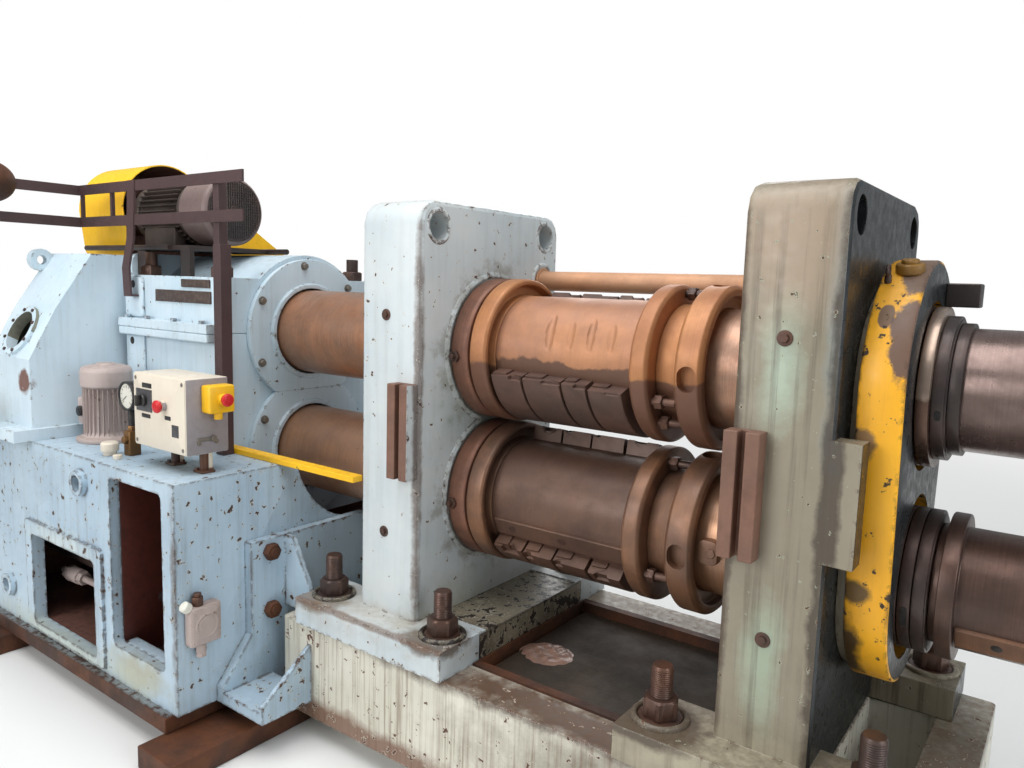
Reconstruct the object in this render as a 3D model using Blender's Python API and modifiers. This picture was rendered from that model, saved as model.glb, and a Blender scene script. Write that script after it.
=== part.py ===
"""Roll forging machine: twin-shaft rolls between two stands, driven through a gearbox on an oil cabinet.

X runs along the shafts from the drive end to the outboard rolls, -Y is the operator's side, +Z is up.
The origin is the centre of the middle sleeper's underside, below the shafts' common plane.
"""

import math

import bmesh
import bpy
from mathutils import Matrix, Vector

# Clearances
SEAT_GAP = 0.0003
RUNNING_GAP = 0.0009
MOVING_GAP = 0.005
OVERRUN = 0.012

# Round pieces
ROUND_STEPS = 32
SMALL_ROUND_STEPS = 16
CORNER_STEPS = 3

# Shafts
SHAFT_RADIUS = 0.130
SHAFT_SPACING = 0.370
LOWER_AXIS_HEIGHT = 0.685
SHAFT_SOCKET_DEPTH = 0.045
OUTBOARD_SHAFT_RADIUS = 0.090

# Sleepers
SLEEPER_WIDTH = 0.150
SLEEPER_HEIGHT = 0.060
SLEEPER_HALF_LENGTH = 0.720
DRIVE_SLEEPER_X = -1.050
ROLL_SLEEPER_X = 1.315

# Base frame
BASE_LEFT_X = 0.037
BASE_LENGTH = 1.600
BASE_TOP_HEIGHT = 0.3147
BASE_HALF_DEPTH = 0.365
BASE_BEAM_WIDTH = 0.120
BASE_END_WIDTH = 0.100

# Scale tray
TRAY_DEPTH = 0.035
TRAY_WALL = 0.006
TRAY_RIM = 0.018
TRAY_SIDE_GAP = 0.004

# Stands
INNER_STAND_X = 0.260
INNER_STAND_THICKNESS = 0.1945
OUTER_STAND_THICKNESS = 0.178
STAND_SPACE = 0.771
STAND_HALF_WIDTH = 0.290
STAND_TOP_HEIGHT = 1.416
STAND_CORNER_RADIUS = 0.055
STAND_EDGE_RADIUS = 0.012
FOOT_THICKNESS = 0.071
FOOT_HALF_LENGTH = 0.255
FOOT_INSIDE_Y = 0.205
FOOT_OUTSIDE_Y = 0.375
LIFTING_HOLE_RADIUS = 0.034
LIFTING_HOLE_Y = 0.225
LIFTING_HOLE_DROP = 0.060
LUG_LENGTH = 0.046
LUG_WIDTH = 0.048
LUG_BOTTOM_HEIGHT = 0.762
LUG_TOP_HEIGHT = 0.978

# Apron plate beside the inner stand
APRON_LENGTH = 0.161
APRON_HALF_DEPTH = 0.232
APRON_THICKNESS = 0.068

# Guide channels on the stands' front faces
GUIDE_WIDTH = 0.066
GUIDE_DEPTH = 0.038
GUIDE_SLOT_WIDTH = 0.014
GUIDE_SLOT_DEPTH = 0.026
GUIDE_BOTTOM_HEIGHT = 0.748
GUIDE_TOP_HEIGHT = 0.980

# Tie rod
TIE_ROD_RADIUS = 0.027
TIE_ROD_Y = 0.215
TIE_ROD_DROP = 0.181
TIE_BOSS_RADIUS = 0.036
TIE_BOSS_LENGTH = 0.008

# Bearing rings fixed to the inner stand
BEARING_RING_RADIUS = 0.182
BEARING_RING_WIDTH = 0.057

# Rolls between the stands
FLANGE_RADIUS = 0.182
FLANGE_WIDTH = 0.051
FLANGE_RECESS_OUTER_RADIUS = 0.168
FLANGE_RECESS_DEPTH = 0.022
SLEEVE_RADIUS = 0.140
SLEEVE_LENGTH = 0.381
DIE_RADIUS = 0.176
DIE_LEFT_MARGIN = 0.009
DIE_RIGHT_MARGIN = 0.019
DIE_GAP = 0.005
DIE_STEP = 0.012
CLAMP_RING_RADIUS = 0.178
CLAMP_RING_WIDTH = 0.045
CLAMP_RING_CHAMFER = 0.006
NECK_LENGTH = 0.058
NECK_RADIUS = 0.136
RING_NUT_RADIUS = 0.180
RING_NUT_WIDTH = 0.062
RING_NUT_CHAMFER = 0.008
RING_NUT_RECESS_RADIUS = 0.158
RING_NUT_RECESS_DEPTH = 0.018
SPANNER_HOLE_RADIUS = 0.021
SPANNER_HOLE_DEPTH = 0.022
SPANNER_HOLE_STRETCH = 0.012
KEY_BAR_WIDTH = 0.046
KEY_BAR_RISE = 0.004
DENT_RADIUS = 0.060
DENT_DEPTH = 0.006

# End plate with two shaft holes
END_PLATE_RADIUS = 0.235
END_PLATE_LOWER_RADIUS = 0.205
END_PLATE_THICKNESS = 0.074
END_PLATE_HOLE_RADIUS = 0.160
END_PLATE_SPIGOT_RADIUS = 0.190
END_PLATE_SPIGOT_LENGTH = 0.017
STOP_BAR_SIDE = 0.046
STOP_BAR_LENGTH = 0.060
STOP_BAR_Y = 0.105
STOP_BAR_RISE = 0.172

# Outboard rolls
OUTBOARD_COLLAR_RADIUS = 0.150
OUTBOARD_MIDDLE_RADIUS = 0.136
OUTBOARD_INNER_RADIUS = 0.122
OUTBOARD_INSERTION = 0.022
OUTBOARD_RING_WIDTH = 0.023
OUTBOARD_SLEEVE_RADIUS = 0.113
OUTBOARD_SLEEVE_LENGTH = 0.400
OUTBOARD_FLANGE_RADIUS = 0.137
OUTBOARD_FLANGE_WIDTH = 0.028
OUTBOARD_NUT_RADIUS = 0.128
OUTBOARD_NUT_WIDTH = 0.048

# Cabinet
CABINET_RIGHT_X = -0.040
CABINET_LENGTH = 1.210
CABINET_HALF_DEPTH = 0.630
CABINET_TOP_HEIGHT = 0.710
CABINET_WALL = 0.030
PLINTH_HEIGHT = 0.045
PLINTH_OVERHANG = 0.022
WALL_NOTCH_RADIUS = 0.262
WALL_NOTCH_RISE = 0.050
SLOT_LEFT_X = -0.357
SLOT_WIDTH = 0.260
SLOT_BOTTOM_HEIGHT = 0.205
SLOT_TOP_DROP = 0.034
SLOT_CORNER_RADIUS = 0.015
WINDOW_LEFT_X = -0.830
WINDOW_WIDTH = 0.390
WINDOW_BOTTOM_HEIGHT = 0.140
WINDOW_HEIGHT = 0.282
WINDOW_CORNER_RADIUS = 0.012
WINDOW_FRAME_BORDER = 0.042
WINDOW_FRAME_THICKNESS = 0.008
PORT_RING_RADIUS = 0.037
PORT_RING_BORE = 0.023
PORT_RING_LENGTH = 0.018
UPPER_PORT_X = -0.507
UPPER_PORT_DROP = 0.073
LOWER_PORT_X = -1.008
LOWER_PORT_HEIGHT = 0.215

# Oil line in the cabinet
OIL_LINE_RADIUS = 0.017
OIL_LINE_HEIGHT = 0.300
OIL_LINE_Y = -0.480
OIL_LINE_LEFT_X = -0.800
OIL_LINE_RIGHT_X = -0.066
OIL_UNION_RADIUS = 0.034
OIL_UNION_LENGTH = 0.100
OIL_UNION_X = -0.620

# Link bracket between the cabinet and the base
BRACKET_PLATE_THICKNESS = 0.030
BRACKET_INSIDE_Y = 0.020
BRACKET_OUTSIDE_Y = 0.520
BRACKET_TOP_HEIGHT = 0.520
BRACKET_FOOT_THICKNESS = 0.030
BRACKET_FOOT_LENGTH = 0.195
BRACKET_GUSSET_THICKNESS = 0.014
BRACKET_SHOULDER_Y = 0.430
BRACKET_SHOULDER_HEIGHT = 0.265
BRACKET_TOE_HEIGHT = 0.150
BRACKET_RIB_Y = 0.306
BRACKET_RIB_TOP_LENGTH = 0.030
BRACKET_RIB_LENGTH = 0.105
BRACKET_RIB_TOP_DROP = 0.002
BRACKET_RIB_SHOULDER_HEIGHT = 0.386
BRACKET_RIB_LIFT = 0.0033

# Gearbox
GEARBOX_RIGHT_X = -0.310
GEARBOX_LENGTH = 0.495
GEARBOX_HALF_DEPTH = 0.330
GEARBOX_SHOULDER_HEIGHT = 1.218
SUMP_HALF_DEPTH = 0.250
SUMP_DROP = 0.270
DOME_RADIUS = 0.240
LEDGE_OVERHANG = 0.030
LEDGE_THICKNESS = 0.027
END_WALL_THICKNESS = 0.0235
END_WALL_SEAT = 0.003
END_WALL_HALF_DEPTH = 0.310
END_WALL_HEIGHT = 1.288
END_WALL_CORNER_RADIUS = 0.030
COVER_RADIUS = 0.227
COVER_THICKNESS = 0.018
COVER_BORE_CLEARANCE = 0.006
COVER_LIP_RADIUS = 0.151
COVER_LIP_HEIGHT = 0.009

# Gear housing at the drive end
HOUSING_RIGHT_X = -0.830
HOUSING_LENGTH = 0.280
HOUSING_FRONT_Y = -0.620
HOUSING_KNEE_HEIGHT = 0.955
HOUSING_SHOULDER_Y = -0.538
HOUSING_SHOULDER_HEIGHT = 1.110
HOUSING_CREST_FRONT_Y = -0.424
HOUSING_CREST_REAR_Y = -0.285
HOUSING_TOP_HEIGHT = 1.280
HOUSING_REAR_Y = -0.120
HOUSING_REAR_SHOULDER_HEIGHT = 1.070
HOUSING_WALL = 0.025
HOUSING_FLANGE_THICKNESS = 0.035
HOUSING_FLANGE_OVERHANG = 0.060
HOUSING_FLANGE_SIDE = 0.020
HOUSING_PORT_RADIUS = 0.064
HOUSING_PORT_RING_RADIUS = 0.083
HOUSING_PORT_RING_HEIGHT = 0.010
EAR_RADIUS = 0.036
EAR_HOLE_RADIUS = 0.0155
EAR_THICKNESS = 0.030
EAR_PLACE_SHARE = 0.80
EAR_LIFT = 0.021

# Main motor
MOTOR_Y = -0.150
MOTOR_AXIS_HEIGHT = 1.425
MOTOR_FAN_END_X = -0.470
MOTOR_COWL_RADIUS = 0.108
MOTOR_COWL_LENGTH = 0.140
MOTOR_BODY_RADIUS = 0.090
MOTOR_BODY_LENGTH = 0.290
MOTOR_FIN_HEIGHT = 0.014
MOTOR_FIN_THICKNESS = 0.006
MOTOR_FIN_COUNT = 12
MOTOR_SHIELD_RADIUS = 0.100
MOTOR_SHIELD_LENGTH = 0.030
MOTOR_SHAFT_RADIUS = 0.019
MOTOR_TERMINAL_LENGTH = 0.095
MOTOR_TERMINAL_DEPTH = 0.090
MOTOR_TERMINAL_HEIGHT = 0.055
MOTOR_FOOT_LENGTH = 0.180
MOTOR_FOOT_SPREAD = 0.090
MOTOR_FOOT_WIDTH = 0.040
MOTOR_PULLEY_RADIUS = 0.070
MOTOR_PULLEY_WIDTH = 0.150
MOTOR_PULLEY_GROOVES = 3
MOTOR_PULLEY_GROOVE_DEPTH = 0.012

# Motor slide plate
SLIDE_PLATE_THICKNESS = 0.014
SLIDE_PLATE_LEFT_X = -0.902
SLIDE_PLATE_LENGTH = 0.402
SLIDE_PLATE_FRONT_Y = -0.290
SLIDE_PLATE_REAR_Y = -0.010
SLIDE_PLATE_HEIGHT = 1.2985
SLIDE_LEG_THICKNESS = 0.016
SLIDE_LEG_WIDTH = 0.050
PIVOT_ROD_RADIUS = 0.009
PIVOT_ROD_LEFT_X = -1.131
PIVOT_ROD_LENGTH = 0.531
REAR_ROD_LEFT_X = -0.700
REAR_ROD_LENGTH = 0.298

# Belt guard
GUARD_RIGHT_X = -0.910
GUARD_LENGTH = 0.300
GUARD_WALL = 0.005
GUARD_SMALL_RADIUS = 0.160
GUARD_SMALL_Y = -0.120
GUARD_SMALL_HEIGHT = 1.437
GUARD_LARGE_RADIUS = 0.290
GUARD_LARGE_Y = 0.320
GUARD_CORNER_Y = -0.262
GUARD_CORNER_HEIGHT = 1.295
GUARD_FOOT_LENGTH = 0.160
GUARD_FOOT_HEIGHT = 0.030
GUARD_MOUTH_REACH = 0.230

# Rail frame
RAIL_Y = -0.360
RAIL_UPPER_HEIGHT = 1.490
RAIL_SPACING = 0.104
RAIL_THICKNESS = 0.006
RAIL_WIDTH = 0.032
RAIL_RIGHT_X = -0.125
RAIL_CORNER_X = -1.035
RAIL_FRONT_Y = -0.560
RAIL_LOWER_FRONT_Y = -0.640
RAIL_POST_X = -0.258
RAIL_POST_SIDE = 0.036
RAIL_POST_SLIM_SIDE = 0.028
RAIL_POST_SPLICE_DROP = 0.180
RAIL_LEG_WIDTH = 0.040
RAIL_LEG_TOP_X = -0.690
RAIL_LEG_UPPER_BEND_X = -0.705
RAIL_LEG_UPPER_BEND_DROP = 0.160
RAIL_LEG_LOWER_BEND_X = -0.738
RAIL_LEG_LOWER_BEND_DROP = 0.250
RAIL_LEG_BOTTOM_X = -0.731
RAIL_LEG_BOTTOM_DROP = 0.340
RAIL_STUB_SPACING = 0.195
LAMP_RADIUS = 0.066
LAMP_DEPTH = 0.090

# Pump motor
PUMP_X = -0.690
PUMP_Y = -0.460
PUMP_FLANGE_RADIUS = 0.088
PUMP_FLANGE_THICKNESS = 0.016
PUMP_BODY_RADIUS = 0.056
PUMP_BODY_HEIGHT = 0.150
PUMP_FIN_HEIGHT = 0.012
PUMP_FIN_THICKNESS = 0.005
PUMP_FIN_COUNT = 12
PUMP_COWL_RADIUS = 0.073
PUMP_COWL_HEIGHT = 0.074
PUMP_BOX_SIDE = 0.086
PUMP_BOX_HEIGHT = 0.086
PUMP_BOX_DEPTH = 0.050
PUMP_BOX_LIFT = 0.042

# Gauge and caps
GAUGE_X = -0.432
GAUGE_Y = -0.520
GAUGE_RADIUS = 0.042
GAUGE_DEPTH = 0.032
GAUGE_RISE = 0.170
GAUGE_BLOCK_SIDE = 0.034
GAUGE_BLOCK_HEIGHT = 0.070
GAUGE_STEM_RADIUS = 0.009
FILLER_X = -0.473
FILLER_Y = -0.564
FILLER_RADIUS = 0.024
FILLER_HEIGHT = 0.026
FILLER_NECK_RADIUS = 0.018
FILLER_NECK_HEIGHT = 0.012

# Control box
CONTROL_LEFT_X = -0.340
CONTROL_WIDTH = 0.250
CONTROL_FRONT_Y = -0.560
CONTROL_DEPTH = 0.122
CONTROL_LEG_HEIGHT = 0.052
CONTROL_HEIGHT = 0.198
CONTROL_EDGE_RADIUS = 0.004
CONTROL_LEG_RADIUS = 0.011
CONTROL_LEG_SHARES = (0.38, 0.92)
SELECTOR_X_SHARE = 0.215
SELECTOR_HEIGHT_SHARE = 0.640
SELECTOR_RADIUS = 0.017
SELECTOR_DEPTH = 0.012
SELECTOR_GRIP_HEIGHT = 0.014
SELECTOR_GRIP_WIDTH = 0.008
STOP_X_SHARE = 0.600
STOP_HEIGHT_SHARE = 0.610
BUTTON_COLLAR_RADIUS = 0.015
BUTTON_COLLAR_HEIGHT = 0.012
BUTTON_STEM_RADIUS = 0.009
BUTTON_HEAD_RADIUS = 0.017
BUTTON_HEAD_HEIGHT = 0.012
BUTTON_TRAVEL = 0.004
BUTTON_SOCKET_DEPTH = 0.008

# Emergency stop box on the control box's side
ESTOP_SIDE = 0.074
ESTOP_HEIGHT = 0.072
ESTOP_DEPTH = 0.042
ESTOP_Y = -0.482
ESTOP_RISE = 0.110
ESTOP_EDGE_RADIUS = 0.006
ESTOP_GLAND_RADIUS = 0.011
ESTOP_GLAND_LENGTH = 0.024

# Junction box on the cabinet's side
JUNCTION_Y = -0.5655
JUNCTION_SIDE = 0.086
JUNCTION_HEIGHT = 0.104
JUNCTION_DEPTH = 0.034
JUNCTION_BOTTOM_HEIGHT = 0.290
JUNCTION_EDGE_RADIUS = 0.006

# Painted bar across the lower shaft's front
BAR_LEFT_X = -0.300
BAR_FRONT_Y = -0.318
BAR_DEPTH = 0.034
BAR_THICKNESS = 0.016

# Places that follow from the sizes above
UPPER_AXIS_HEIGHT = LOWER_AXIS_HEIGHT + SHAFT_SPACING
AXIS_HEIGHTS = {"lower": LOWER_AXIS_HEIGHT, "upper": UPPER_AXIS_HEIGHT}
FLOOR_OF_BASE = SLEEPER_HEIGHT + SEAT_GAP
BASE_RIGHT_X = BASE_LEFT_X + BASE_LENGTH
STAND_FLOOR_HEIGHT = BASE_TOP_HEIGHT + SEAT_GAP
FOOT_TOP_HEIGHT = STAND_FLOOR_HEIGHT + FOOT_THICKNESS
INNER_STAND_RIGHT_X = INNER_STAND_X + INNER_STAND_THICKNESS
OUTER_STAND_X = INNER_STAND_RIGHT_X + STAND_SPACE
OUTER_STAND_RIGHT_X = OUTER_STAND_X + OUTER_STAND_THICKNESS
TIE_ROD_HEIGHT = STAND_TOP_HEIGHT - TIE_ROD_DROP
FLANGE_X = INNER_STAND_RIGHT_X + SEAT_GAP + BEARING_RING_WIDTH + MOVING_GAP
SLEEVE_X = FLANGE_X + FLANGE_WIDTH + SEAT_GAP
CLAMP_RING_X = SLEEVE_X + SLEEVE_LENGTH + SEAT_GAP
NECK_X = CLAMP_RING_X + CLAMP_RING_WIDTH + SEAT_GAP
RING_NUT_X = NECK_X + NECK_LENGTH + SEAT_GAP
END_PLATE_X = OUTER_STAND_RIGHT_X + SEAT_GAP
END_PLATE_RIGHT_X = END_PLATE_X + END_PLATE_SPIGOT_LENGTH + END_PLATE_THICKNESS
OUTBOARD_X = END_PLATE_RIGHT_X - OUTBOARD_INSERTION
OUTBOARD_SLEEVE_X = OUTBOARD_X + 3 * OUTBOARD_RING_WIDTH + SEAT_GAP
OUTBOARD_NUT_X = OUTBOARD_SLEEVE_X + OUTBOARD_SLEEVE_LENGTH + SEAT_GAP
SHAFT_LEFT_X = GEARBOX_RIGHT_X - SHAFT_SOCKET_DEPTH + MOVING_GAP
SHAFT_STEP_X = OUTBOARD_X - MOVING_GAP
SHAFT_RIGHT_X = OUTBOARD_NUT_X + OUTBOARD_NUT_WIDTH + OUTBOARD_RING_WIDTH
CABINET_LEFT_X = CABINET_RIGHT_X - CABINET_LENGTH
CABINET_FLOOR_HEIGHT = FLOOR_OF_BASE + PLINTH_HEIGHT + SEAT_GAP
ON_CABINET = CABINET_TOP_HEIGHT + SEAT_GAP
SLOT_TOP_HEIGHT = CABINET_TOP_HEIGHT - SLOT_TOP_DROP
UPPER_PORT_HEIGHT = CABINET_TOP_HEIGHT - UPPER_PORT_DROP
WALL_NOTCH_HEIGHT = CABINET_TOP_HEIGHT + WALL_NOTCH_RISE
GAUGE_HEIGHT = CABINET_TOP_HEIGHT + GAUGE_RISE
CONTROL_BOTTOM_HEIGHT = CABINET_TOP_HEIGHT + CONTROL_LEG_HEIGHT
ESTOP_BOTTOM_HEIGHT = CONTROL_BOTTOM_HEIGHT + ESTOP_RISE
GEARBOX_LEFT_X = GEARBOX_RIGHT_X - GEARBOX_LENGTH
HOUSING_LEFT_X = HOUSING_RIGHT_X - HOUSING_LENGTH
GUARD_LEFT_X = GUARD_RIGHT_X - GUARD_LENGTH
GUARD_LARGE_HEIGHT = ON_CABINET + GUARD_LARGE_RADIUS
MOTOR_BODY_RIGHT_X = MOTOR_FAN_END_X - MOTOR_COWL_LENGTH - SEAT_GAP
MOTOR_BODY_LEFT_X = MOTOR_BODY_RIGHT_X - MOTOR_BODY_LENGTH
ON_SLIDE_PLATE = SLIDE_PLATE_HEIGHT + SLIDE_PLATE_THICKNESS + SEAT_GAP
RAIL_LOWER_HEIGHT = RAIL_UPPER_HEIGHT - RAIL_SPACING
RAIL_POST_SPLICE_HEIGHT = RAIL_UPPER_HEIGHT - RAIL_POST_SPLICE_DROP
RAIL_LEG_UPPER_BEND_HEIGHT = RAIL_UPPER_HEIGHT - RAIL_LEG_UPPER_BEND_DROP
RAIL_LEG_LOWER_BEND_HEIGHT = RAIL_UPPER_HEIGHT - RAIL_LEG_LOWER_BEND_DROP
RAIL_LEG_BOTTOM_HEIGHT = RAIL_UPPER_HEIGHT - RAIL_LEG_BOTTOM_DROP

# Colours as linear RGB, roughness and metallic
FINISHES = {
    "blue_paint": ((0.44, 0.60, 0.67), 0.45, 0.0),
    "green_paint": ((0.33, 0.36, 0.30), 0.50, 0.0),
    "yellow_paint": ((0.80, 0.48, 0.02), 0.45, 0.0),
    "roll_steel": ((0.24, 0.12, 0.07), 0.45, 0.8),
    "turned_steel": ((0.42, 0.33, 0.27), 0.30, 0.9),
    "dark_steel": ((0.07, 0.06, 0.06), 0.50, 0.7),
    "brown_primer": ((0.09, 0.035, 0.03), 0.55, 0.0),
    "motor_grey": ((0.10, 0.09, 0.09), 0.50, 0.2),
    "cream_paint": ((0.66, 0.60, 0.47), 0.45, 0.0),
    "pale_paint": ((0.50, 0.42, 0.38), 0.50, 0.0),
    "red_plastic": ((0.55, 0.01, 0.015), 0.35, 0.0),
    "black_plastic": ((0.02, 0.02, 0.02), 0.40, 0.0),
    "rusty_steel": ((0.20, 0.08, 0.04), 0.70, 0.3),
}


def clear_scene():
    for thing in list(bpy.data.objects):
        bpy.data.objects.remove(thing, do_unlink=True)


def new_collection(name):
    collection = bpy.data.collections.new(name)
    bpy.context.scene.collection.children.link(collection)
    return collection


def make_material(name):
    colour, roughness, metallic = FINISHES[name]
    material = bpy.data.materials.new(name)
    material.use_nodes = True
    shader = material.node_tree.nodes["Principled BSDF"]
    shader.inputs["Base Color"].default_value = (*colour, 1)
    shader.inputs["Roughness"].default_value = roughness
    shader.inputs["Metallic"].default_value = metallic
    material.diffuse_color = (*colour, 1)
    return material


def wrap(name, mesh):
    """An object around a mesh, in no collection yet."""
    return bpy.data.objects.new(name, mesh)


def keep(thing, finish):
    """Store a finished sub-part under its material."""
    thing.data.materials.clear()
    thing.data.materials.append(MATERIALS[finish])
    PARTS.objects.link(thing)
    return thing


def hold_tool(thing):
    """Store a shape that only cuts or joins."""
    TOOLS.objects.link(thing)
    thing.hide_render = True
    thing.display_type = "WIRE"
    return thing


def change(target, tool, operation):
    modifier = target.modifiers.new(operation.lower(), "BOOLEAN")
    modifier.operation = operation
    modifier.solver = "EXACT"
    modifier.object = hold_tool(tool)


def cut(target, *tools):
    for tool in tools:
        change(target, tool, "DIFFERENCE")
    return target


def join(target, *tools):
    for tool in tools:
        change(target, tool, "UNION")
    return target


def soften(thing, width, segments=2):
    """Round every sharp edge of a solid."""
    bevel = thing.modifiers.new("edge", "BEVEL")
    bevel.width = width
    bevel.segments = segments
    bevel.limit_method = "ANGLE"
    bevel.angle_limit = math.radians(40)
    return thing


def shade_round(mesh):
    mesh.shade_smooth()
    mesh.set_sharp_from_angle(angle=math.radians(35))


def box(name, low, high):
    """A block between two opposite corners."""
    low, high = Vector(low), Vector(high)
    solid = bmesh.new()
    bmesh.ops.create_cube(solid, size=1)
    size = high - low
    bmesh.ops.scale(solid, vec=size, verts=solid.verts)
    mesh = bpy.data.meshes.new(name)
    solid.to_mesh(mesh)
    solid.free()
    thing = wrap(name, mesh)
    thing.location = (low + high) / 2
    return thing


def cylinder(name, centre, direction, radius, length, steps=ROUND_STEPS, phase=0.0):
    """A round bar around its centre, along any direction."""
    solid = bmesh.new()
    bmesh.ops.create_cone(
        solid, cap_ends=True, segments=steps, radius1=radius, radius2=radius, depth=length
    )
    mesh = bpy.data.meshes.new(name)
    solid.to_mesh(mesh)
    solid.free()
    shade_round(mesh)
    thing = wrap(name, mesh)
    turn = Vector((0, 0, 1)).rotation_difference(Vector(direction)).to_matrix()
    thing.rotation_euler = (turn @ Matrix.Rotation(phase, 3, "Z")).to_euler()
    thing.location = centre
    return thing


def along_x(name, left_x, length, y, z, radius, steps=ROUND_STEPS):
    """A round bar along X that starts at left_x."""
    return cylinder(name, (left_x + length / 2, y, z), (1, 0, 0), radius, length, steps)


def turned(name, y, z, outline, steps=ROUND_STEPS):
    """A turned piece about an X axis: its profile is (x, radius) from left to right."""
    points = [(radius, 0, x) for x, radius in reversed(outline)]
    if outline[0][1] > 0:
        points.append(points[0])
    mesh = bpy.data.meshes.new(name)
    mesh.from_pydata(points, [(i, i + 1) for i in range(len(points) - 1)], [])
    thing = wrap(name, mesh)
    thing.location = (0, y, z)
    thing.rotation_euler = (0, math.radians(90), 0)
    screw = thing.modifiers.new("turn", "SCREW")
    screw.axis = "Z"
    screw.angle = math.radians(360)
    screw.steps = steps
    screw.render_steps = steps
    screw.use_merge_vertices = True
    screw.merge_threshold = 0.00001
    screw.use_smooth_shade = True
    return thing


def ring(name, y, z, left_x, width, outer, inner, chamfer=0.0):
    """A plain turned ring with its outer corners broken."""
    right_x = left_x + width
    outline = [
        (left_x, inner),
        (left_x, outer - chamfer),
        (left_x + chamfer, outer),
        (right_x - chamfer, outer),
        (right_x, outer - chamfer),
        (right_x, inner),
    ]
    if chamfer == 0:
        outline = [(left_x, inner), (left_x, outer), (right_x, outer), (right_x, inner)]
    return turned(name, y, z, outline)


def arc(centre, radius, start, end, steps):
    """Points on an arc in a plane, angles in degrees."""
    points = []
    for i in range(steps + 1):
        angle = math.radians(start + (end - start) * i / steps)
        points.append((centre[0] + radius * math.cos(angle), centre[1] + radius * math.sin(angle)))
    return points


def circle(centre, radius, steps=ROUND_STEPS):
    return arc(centre, radius, 0, 360, steps)[:-1]


def rounded_box_outline(low, high, radius, steps=CORNER_STEPS):
    """A rectangle with four round corners."""
    points = []
    corners = ((high[0], high[1], 0), (low[0], high[1], 90), (low[0], low[1], 180), (high[0], low[1], 270))
    for x, y, start in corners:
        side_x = -1 if x == high[0] else 1
        side_y = -1 if y == high[1] else 1
        points += arc((x + side_x * radius, y + side_y * radius), radius, start, start + 90, steps)
    return points


def inset_outline(points, distance):
    """A convex outline moved inwards by one distance."""
    count = len(points)
    area = sum(
        points[i][0] * points[(i + 1) % count][1] - points[(i + 1) % count][0] * points[i][1]
        for i in range(count)
    )
    side = 1 if area > 0 else -1
    moved = []
    for i in range(count):
        before, here, after = (Vector(points[(i + k) % count]) for k in (-1, 0, 1))
        first, second = (here - before).normalized(), (after - here).normalized()
        first_normal = Vector((-first.y, first.x)) * side
        second_normal = Vector((-second.y, second.x)) * side
        middle = (first_normal + second_normal).normalized()
        moved.append(tuple(here + middle * (distance / middle.dot(first_normal))))
    return moved


PLANES = {
    "XY": Matrix(((1, 0, 0), (0, 1, 0), (0, 0, 1))),
    "YZ": Matrix(((0, 0, 1), (1, 0, 0), (0, 1, 0))),
    "XZ": Matrix(((1, 0, 0), (0, 0, -1), (0, 1, 0))),
}


def prism(outline, half):
    """A mesh with the outline as its two faces, half of its thickness on each side."""
    count = len(outline)
    points = [(x, y, z) for z in (-half, half) for x, y in outline]
    faces = [list(range(count))[::-1], list(range(count, 2 * count))]
    faces += [(i, (i + 1) % count, count + (i + 1) % count, count + i) for i in range(count)]
    mesh = bpy.data.meshes.new("prism")
    mesh.from_pydata(points, [], faces)
    return mesh


def pierced(outline, holes, half):
    """The same with holes, filled as a flat curve."""
    curve = bpy.data.curves.new("pierced", "CURVE")
    curve.dimensions = "2D"
    curve.fill_mode = "BOTH"
    curve.extrude = half
    for points in (outline, *holes):
        spline = curve.splines.new("POLY")
        spline.points.add(len(points) - 1)
        for point, place in zip(spline.points, points):
            point.co = (place[0], place[1], 0, 1)
        spline.use_cyclic_u = True
    guide = wrap("pierced", curve)
    bpy.context.scene.collection.objects.link(guide)
    bpy.context.view_layer.update()
    shape = guide.evaluated_get(bpy.context.evaluated_depsgraph_get())
    mesh = bpy.data.meshes.new_from_object(shape)
    bpy.data.objects.remove(guide, do_unlink=True)
    return mesh


def slab(name, plane, outline, start, end, holes=()):
    """A flat outline with holes, given thickness from start to end along the plane's normal."""
    half = abs(end - start) / 2
    mesh = pierced(outline, holes, half) if holes else prism(outline, half)
    welded = bmesh.new()
    welded.from_mesh(mesh)
    bmesh.ops.remove_doubles(welded, verts=welded.verts, dist=0.000001)
    bmesh.ops.recalc_face_normals(welded, faces=welded.faces)
    welded.to_mesh(mesh)
    welded.free()
    mesh.name = name
    shade_round(mesh)
    thing = wrap(name, mesh)
    sense = -1 if plane == "XZ" else 1
    lift = PLANES[plane] @ Vector((0, 0, sense * (start + end) / 2))
    thing.matrix_basis = Matrix.Translation(lift) @ PLANES[plane].to_4x4()
    return thing


def finned_barrel(name, centre, direction, radius, length, fin_height, fin_thickness, count):
    """A motor barrel with straight cooling fins along it."""
    barrel = cylinder(name, centre, direction, radius, length)
    turn = Vector((0, 0, 1)).rotation_difference(Vector(direction)).to_matrix().to_4x4()
    solid = bmesh.new()
    for i in range(count):
        fin = bmesh.ops.create_cube(solid, size=1)["verts"]
        bmesh.ops.scale(solid, vec=(fin_height * 2, fin_thickness, length - 2 * fin_height), verts=fin)
        bmesh.ops.translate(solid, vec=(radius, 0, 0), verts=fin)
        angle = 2 * math.pi * (i + 0.5) / count
        bmesh.ops.rotate(solid, cent=(0, 0, 0), matrix=Matrix.Rotation(angle, 3, "Z"), verts=fin)
    mesh = bpy.data.meshes.new(name + "_fins")
    solid.to_mesh(mesh)
    solid.free()
    fins = wrap(name + "_fins", mesh)
    fins.matrix_basis = Matrix.Translation(centre) @ turn
    return join(barrel, fins)


def empty(name, place):
    """A joint's origin."""
    thing = bpy.data.objects.new(name, None)
    thing.location = place
    PARTS.objects.link(thing)
    return thing


def hang(child, parent):
    """Parent a piece to a joint's origin and leave it where it is."""
    child.parent = parent
    child.matrix_parent_inverse = Matrix.Translation(-parent.location)
    return child


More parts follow.
